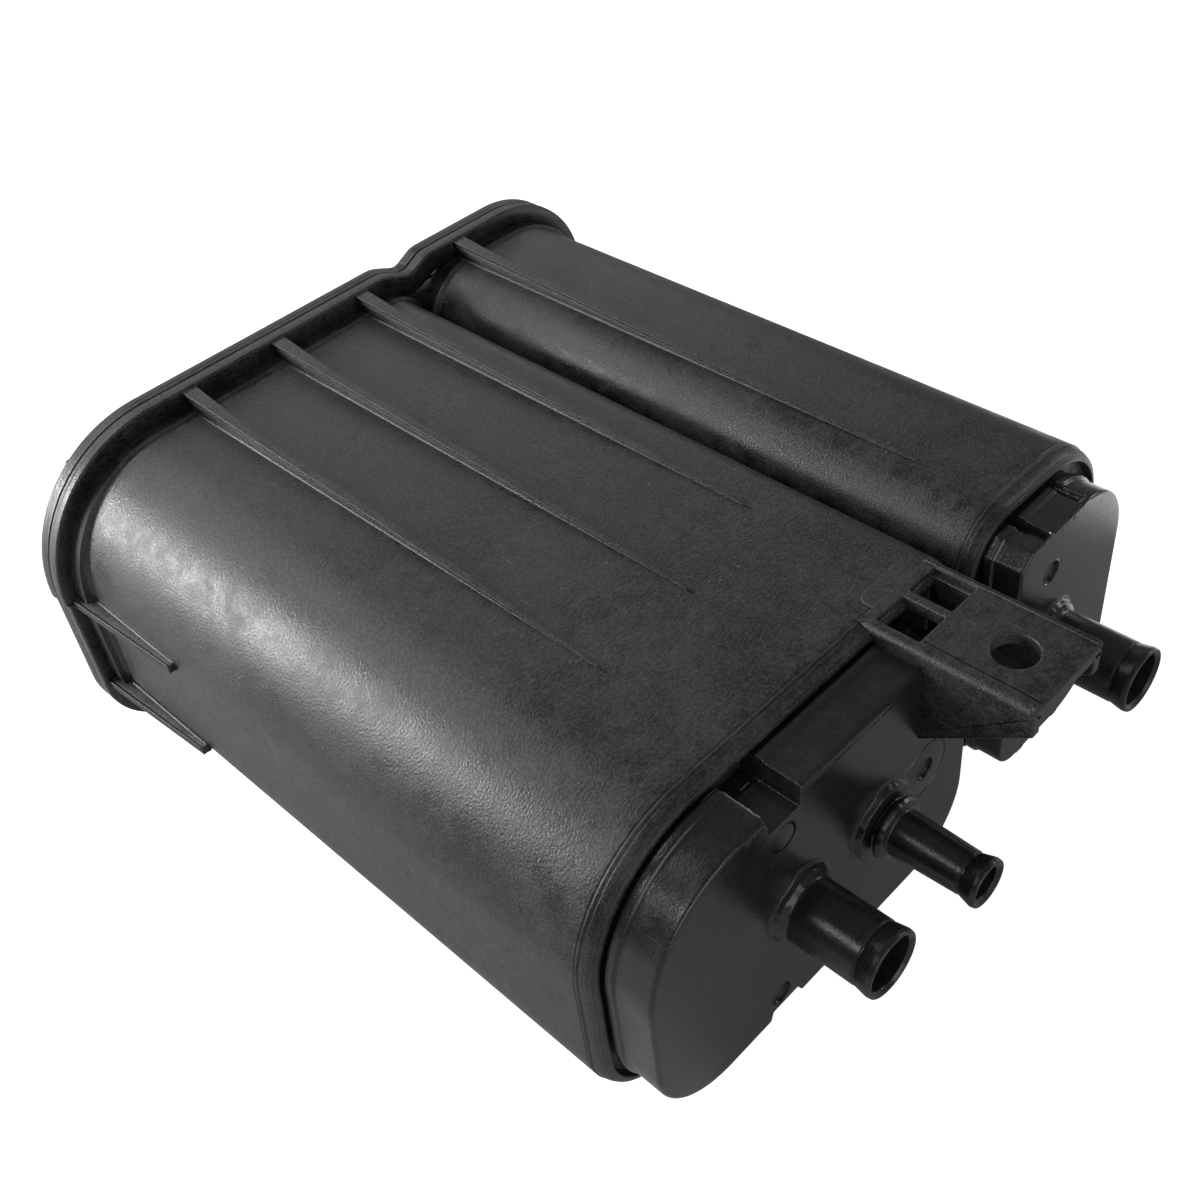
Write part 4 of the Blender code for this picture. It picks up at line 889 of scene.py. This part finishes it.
# Sparse pale specks and fine crossing scratches
def makeScuffGroup():
    group, source, sink = newGroup("scuffs", [("Vector", "NodeSocketVector", None)],
                                   [("Specks", "NodeSocketFloat"), ("Scratches", "NodeSocketFloat")])
    cells = addNode(group, "ShaderNodeTexVoronoi", {"Scale": 330.0, "Randomness": 1.0})
    group.links.new(source.outputs["Vector"], cells.inputs["Vector"])
    near = mapSpan(group, cells.outputs["Distance"], 0.10, 0.16, 1.0, 0.0)
    chosen = mapSpan(group, noiseNode(group, source.outputs["Vector"], 90.0, 3.0), 0.60, 0.68, 0.0, 1.0)
    group.links.new(mathNode(group, "MULTIPLY", near, chosen), sink.inputs["Specks"])
    strokes = None
    for turn, stretch in ((0.5, 34.0), (2.1, 26.0)):
        aim = addNode(group, "ShaderNodeMapping", {"Rotation": (0.2, 0.1, turn),
                                                   "Scale": (stretch, 1.0, stretch)})
        group.links.new(source.outputs["Vector"], aim.inputs["Vector"])
        line = noiseNode(group, aim.outputs["Vector"], 42.0, 2.0, 0.5)
        thin = mapSpan(group, line, 0.70, 0.76, 0.0, 1.0)
        strokes = thin if strokes is None else mathNode(group, "MAXIMUM", strokes, thin)
    patchy = mapSpan(group, noiseNode(group, source.outputs["Vector"], 14.0, 3.0), 0.5, 0.62, 0.0, 1.0)
    group.links.new(mathNode(group, "MULTIPLY", strokes, patchy), sink.inputs["Scratches"])
    return group


grainGroup = makeGrainGroup()
wearAndHighlightGroup = makeWearAndHighlightGroup()
paintedTopLightGroup = makePaintedTopLightGroup()
scuffGroup = makeScuffGroup()


# A shared group in a material, fed with the vector and its own values
def useGroup(tree, group, vector, values=None):
    node = tree.nodes.new("ShaderNodeGroup")
    node.node_tree = group
    tree.links.new(vector, node.inputs["Vector"])
    for key, value in (values or {}).items():
        node.inputs[key].default_value = value
    return node


# A material with its shader and the object's coordinates
def newMaterial(name):
    made = bpy.data.materials.new(name)
    made.use_nodes = True
    tree = made.node_tree
    shader = tree.nodes["Principled BSDF"]
    place = addNode(tree, "ShaderNodeTexCoord")
    return made, tree, shader, place.outputs["Object"]


# first where the amount is 0, second where it is 1; each is a colour or a node's output
def mixColour(tree, amount, first, second):
    node = addNode(tree, "ShaderNodeMix", data_type="RGBA")
    tree.links.new(amount, node.inputs["Factor"])
    for label, value in (("A", first), ("B", second)):
        socket = [s for s in node.inputs if s.name == label and s.type == "RGBA"][0]
        if isinstance(value, tuple):
            socket.default_value = (*value, 1)
        else:
            tree.links.new(value, socket)
    return [s for s in node.outputs if s.type == "RGBA"][0]


# Relief on the shader's normal, on top of another bump where one is given
def addBump(tree, shader, height, strength, distance, under=None):
    bump = addNode(tree, "ShaderNodeBump", {"Strength": strength, "Distance": distance})
    tree.links.new(height, bump.inputs["Height"])
    if under:
        tree.links.new(under.outputs["Normal"], bump.inputs["Normal"])
    tree.links.new(bump.outputs["Normal"], shader.inputs["Normal"])
    return bump


# Moulded nylon: near-black, grained, with uneven gloss, paler edges that are partly wear and partly painted
# highlight, specks and scratches
def nylonMaterial(name, look):
    made, tree, shader, place = newMaterial(name)
    grain = useGroup(tree, grainGroup, place, {"Grain Scale": look["grainScale"]})
    wearAndHighlight = useGroup(tree, wearAndHighlightGroup, place, {"Reach": look["wearAndHighlightReach"]})
    scuff = useGroup(tree, scuffGroup, place)
    cloudy = mapSpan(tree, grain.outputs["Mottle"], 0.44, 0.56, 0.0, 1.0)
    shade = mathNode(tree, "ADD", mathNode(tree, "MULTIPLY", cloudy, 0.4),
                     mathNode(tree, "MULTIPLY", grain.outputs["Fine"], 0.6))
    colour = mixColour(tree, shade, look["dark"], look["light"])
    # Painted top light: faces turned upwards take a paler colour, as if lit from above
    if "paintedTopLight" in look:
        topLightMask = useGroup(tree, paintedTopLightGroup, place)
        topLitColour = mixColour(tree, shade, look["paintedTopLight"], look["paintedTopLightPale"])
        colour = mixColour(tree, topLightMask.outputs["Mask"], colour, topLitColour)
    # Paler edges: partly wear, partly a painted highlight along the edges
    for mask, share, tone in ((wearAndHighlight.outputs["Mask"], "wearAndHighlight", "wornAndHighlit"),
                              (scuff.outputs["Specks"], "specks", "speck"),
                              (scuff.outputs["Scratches"], "scratches", "speck")):
        amount = mathNode(tree, "MULTIPLY", mask, look[share])
        colour = mixColour(tree, amount, colour, look[tone])
    tree.links.new(colour, shader.inputs["Base Color"])
    rough = mapSpan(tree, grain.outputs["Mottle"], 0.40, 0.62, look["smooth"], look["rough"])
    rough = mathNode(tree, "ADD", rough, mathNode(tree, "MULTIPLY", scuff.outputs["Scratches"], 0.2))
    tree.links.new(rough, shader.inputs["Roughness"])
    wave = noiseNode(tree, place, 9.0, 2.0)
    broad = addBump(tree, shader, wave, 0.25, 0.002)
    addBump(tree, shader, grain.outputs["Height"], look["grain"], 0.00025, broad)
    shader.inputs["IOR"].default_value = 1.5
    return made


bodyLook = dict(grainScale=1550.0, wearAndHighlightReach=0.60, dark=(0.002, 0.002, 0.0021),
                light=(0.040, 0.040, 0.0402), wearAndHighlight=0.06, wornAndHighlit=(0.11, 0.11, 0.11), specks=0.4,
                speck=(0.18, 0.18, 0.175), scratches=0.25, smooth=0.30, rough=0.54, grain=0.50)
chamberLook = dict(bodyLook, dark=(0.009, 0.009, 0.0092), light=(0.019, 0.019, 0.0192),
                   smooth=0.14, rough=0.28, specks=0.2, scratches=0.0, grain=0.26)
# The beads' pale colour is a painted highlight, the glints along the notch's edges
paintedGlintLook = dict(chamberLook, dark=(0.100, 0.100, 0.100), light=(0.240, 0.240, 0.239), rough=0.24)
portLook = dict(chamberLook, dark=(0.006, 0.006, 0.0062), light=(0.018, 0.018, 0.0182),
                smooth=0.22, rough=0.34, grain=0.22)
bracketLook = dict(bodyLook, smooth=0.34, rough=0.50, wearAndHighlight=0.12)
# The ribs' colour is painted darker than the body's nylon, a painted shade on their sides, and their upward
# faces are painted lighter as painted top light
ribPaintedLightLook = dict(bodyLook, dark=(0.002, 0.002, 0.0021), light=(0.006, 0.006, 0.0061),
               paintedTopLight=(0.006, 0.006, 0.0062), paintedTopLightPale=(0.056, 0.056, 0.0562),
               smooth=0.36, rough=0.54, wearAndHighlight=0.12)
coverLook = dict(bodyLook, smooth=0.30, rough=0.46)
innerLook = dict(bodyLook, dark=(0.030, 0.030, 0.031), light=(0.050, 0.050, 0.052), specks=0.2, grain=0.5)


# Granules of carbon: rounded cells as relief, each with its own shade, under finer noise
def carbonMaterial():
    made, tree, shader, place = newMaterial("carbon granules")
    cells = addNode(tree, "ShaderNodeTexVoronoi", {"Scale": 520.0})
    tree.links.new(place, cells.inputs["Vector"])
    small = noiseNode(tree, place, 1900.0, 3.0)
    shade = addNode(tree, "ShaderNodeSeparateColor")
    tree.links.new(cells.outputs["Color"], shade.inputs["Color"])
    tree.links.new(mixColour(tree, shade.outputs[0], (0.006, 0.006, 0.006), (0.030, 0.030, 0.031)),
                   shader.inputs["Base Color"])
    tree.links.new(mapSpan(tree, small, 0.3, 0.7, 0.65, 0.95), shader.inputs["Roughness"])
    rise = mathNode(tree, "SUBTRACT", 1.0, cells.outputs["Distance"])
    rough = addBump(tree, shader, rise, 0.9, 0.0012)
    addBump(tree, shader, small, 0.4, 0.0003, rough)
    return made


# Open-cell foam: pale walls between dark pores
def foamMaterial():
    made, tree, shader, place = newMaterial("filter foam")
    pores = addNode(tree, "ShaderNodeTexVoronoi", {"Scale": 1100.0}, feature="DISTANCE_TO_EDGE")
    tree.links.new(place, pores.inputs["Vector"])
    wall = mapSpan(tree, pores.outputs["Distance"], 0.05, 0.25, 1.0, 0.0)
    tone = mixColour(tree, wall, (0.035, 0.035, 0.034), (0.20, 0.20, 0.19))
    stain = mapSpan(tree, noiseNode(tree, place, 40.0, 4.0), 0.45, 0.65, 0.0, 0.5)
    tree.links.new(mixColour(tree, stain, tone, (0.05, 0.05, 0.05)), shader.inputs["Base Color"])
    tree.links.new(mapSpan(tree, wall, 0.0, 1.0, 0.98, 0.85), shader.inputs["Roughness"])
    addBump(tree, shader, wall, 0.8, 0.0008)
    return made


# Drawn spring wire: fine lines, a little oil staining
def springMaterial():
    made, tree, shader, place = newMaterial("spring steel")
    fine = noiseNode(tree, place, 2400.0, 4.0)
    stain = noiseNode(tree, place, 160.0, 4.0)
    stained = mapSpan(tree, stain, 0.4, 0.65, 0.0, 1.0)
    tree.links.new(mixColour(tree, stained, (0.52, 0.52, 0.53), (0.30, 0.28, 0.25)),
                   shader.inputs["Base Color"])
    tree.links.new(mapSpan(tree, stain, 0.35, 0.65, 0.22, 0.45), shader.inputs["Roughness"])
    shader.inputs["Metallic"].default_value = 1.0
    addBump(tree, shader, fine, 0.2, 0.0001)
    return made


for key, look in (("body", bodyLook), ("ribs", ribPaintedLightLook), ("chambers", chamberLook), ("glintBeads", paintedGlintLook),
                  ("ports", portLook), ("bracket", bracketLook)):
    housingPieces[key].data.materials.append(nylonMaterial(key + " nylon", look))
coverPiece.data.materials.append(nylonMaterial("cover nylon", coverLook))
finishes = dict(bed=carbonMaterial(), filter=foamMaterial(), spring=springMaterial(),
                grid=nylonMaterial("inner nylon", innerLook), hidden=nylonMaterial("plain nylon", coverLook))
finishes["plate"] = finishes["grid"]


# The finish for a node inside, by a word in its name
def finishFor(name):
    for word in ("bed", "filter", "spring", "grid", "plate"):
        if word in name:
            return finishes[word]
    return finishes["hidden"]


for name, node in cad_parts.items():
    if not node.material_slots:
        node.data.materials.append(finishFor(name))
    node.material_slots[0].material = finishFor(name)
print("finishes placed")

# Floor, lights and camera

studio = dict(floorSize=4.0, floorColour=(0.50, 0.50, 0.50), cameraGlow=0.95, glossGlow=0.06,
              worldColour=(1.0, 1.0, 1.0), worldLight=0.18)


# A matt floor that keeps the shadow, and glows for the camera so that it turns out white
def stageFloor():
    size = studio["floorSize"]
    mesh = bpy.data.meshes.new("floor")
    corners = [(-size, -size, 0), (size, -size, 0), (size, size, 0), (-size, size, 0)]
    mesh.from_pydata(corners, [], [(0, 1, 2, 3)])
    floor = bpy.data.objects.new("floor", mesh)
    bpy.context.scene.collection.objects.link(floor)
    made, tree, shader, _ = newMaterial("studio floor")
    shader.inputs["Base Color"].default_value = (*studio["floorColour"], 1)
    shader.inputs["Roughness"].default_value = 0.9
    shader.inputs["Specular IOR Level"].default_value = 0.0
    path = addNode(tree, "ShaderNodeLightPath")
    glow = addNode(tree, "ShaderNodeEmission")
    toCamera = mathNode(tree, "MULTIPLY", path.outputs["Is Camera Ray"], studio["cameraGlow"])
    toGloss = mathNode(tree, "MULTIPLY", path.outputs["Is Glossy Ray"], studio["glossGlow"])
    tree.links.new(mathNode(tree, "ADD", toCamera, toGloss), glow.inputs["Strength"])
    both = addNode(tree, "ShaderNodeAddShader")
    output = tree.nodes["Material Output"]
    tree.links.new(shader.outputs["BSDF"], both.inputs[0])
    tree.links.new(glow.outputs["Emission"], both.inputs[1])
    tree.links.new(both.outputs["Shader"], output.inputs["Surface"])
    mesh.materials.append(made)


# An even pale surround, white to the camera and dimmer for the part
def paleWorld():
    world = bpy.data.worlds.new("pale studio")
    bpy.context.scene.world = world
    world.use_nodes = True
    tree = world.node_tree
    background = tree.nodes["Background"]
    background.inputs["Color"].default_value = (*studio["worldColour"], 1)
    path = addNode(tree, "ShaderNodeLightPath")
    strength = mapSpan(tree, path.outputs["Is Camera Ray"], 0.0, 1.0, studio["worldLight"], 1.0)
    tree.links.new(strength, background.inputs["Strength"])


lamps = {"left softbox": ((-0.56, 0.60, 0.31), (-0.08, 0.02, 0.08), (0.28, 0.24), 7.9),
         "back wall": ((0.3, 0.95, 0.62), (0.0, 0.05, 0.10), (1.8, 0.7), 3.4),
         "top left": ((-0.22, 0.58, 0.80), (0.0, 0.04, 0.08), (0.40, 0.22), 1.9),
         "camera side": ((-0.30, -1.08, 0.42), (0.0, 0.0, 0.06), (1.2, 0.5), 4.0),
         "right front": ((0.85, -0.38, 0.40), (0.12, -0.15, 0.06), (0.30, 0.30), 1.5),
         "left glint": ((-0.75, 0.10, 0.75), (0.0, -0.12, 0.09), (0.12, 0.12), 1.1),
         "right floor": ((0.30, -0.08, 0.003), (0.30, -0.08, 1.0), (0.22, 0.26), 0.25)}


# A soft lamp of a size and power at a place, aimed at a point
def softLamp(name, place, target, size, power):
    light = bpy.data.lights.new(name, "AREA")
    light.shape = "RECTANGLE"
    light.size, light.size_y = size
    light.energy = power
    lamp = bpy.data.objects.new(name, light)
    aim = (Vector(target) - Vector(place)).to_track_quat("-Z", "Y")
    lamp.matrix_world = Matrix.Translation(Vector(place)) @ aim.to_matrix().to_4x4()
    bpy.context.scene.collection.objects.link(lamp)


camera = dict(place=(-0.228414, -0.260939, 0.370924), look=(0.488879, 0.570471, -0.65997),
              up=(0.525954, 0.41082, 0.744714), lens=43.456, shift=(0.0066054, -0.0214792))


# The camera that the photo was fitted to: place, line of sight, upward direction and shift
def photoCamera():
    view = bpy.data.cameras.new("photo camera")
    view.sensor_width = 36.0
    view.lens = camera["lens"]
    view.shift_x, view.shift_y = camera["shift"]
    view.clip_start = 0.01
    holder = bpy.data.objects.new("photo camera", view)
    look, up = Vector(camera["look"]), Vector(camera["up"])
    turn = Matrix((look.cross(up), up, -look)).transposed().to_4x4()
    holder.matrix_world = Matrix.Translation(Vector(camera["place"])) @ turn
    bpy.context.scene.collection.objects.link(holder)
    bpy.context.scene.camera = holder


stageFloor()
paleWorld()
for name, (place, target, size, power) in lamps.items():
    softLamp(name, place, target, size, power)
photoCamera()
bpy.context.scene.view_settings.view_transform = "Standard"
print("studio ready")
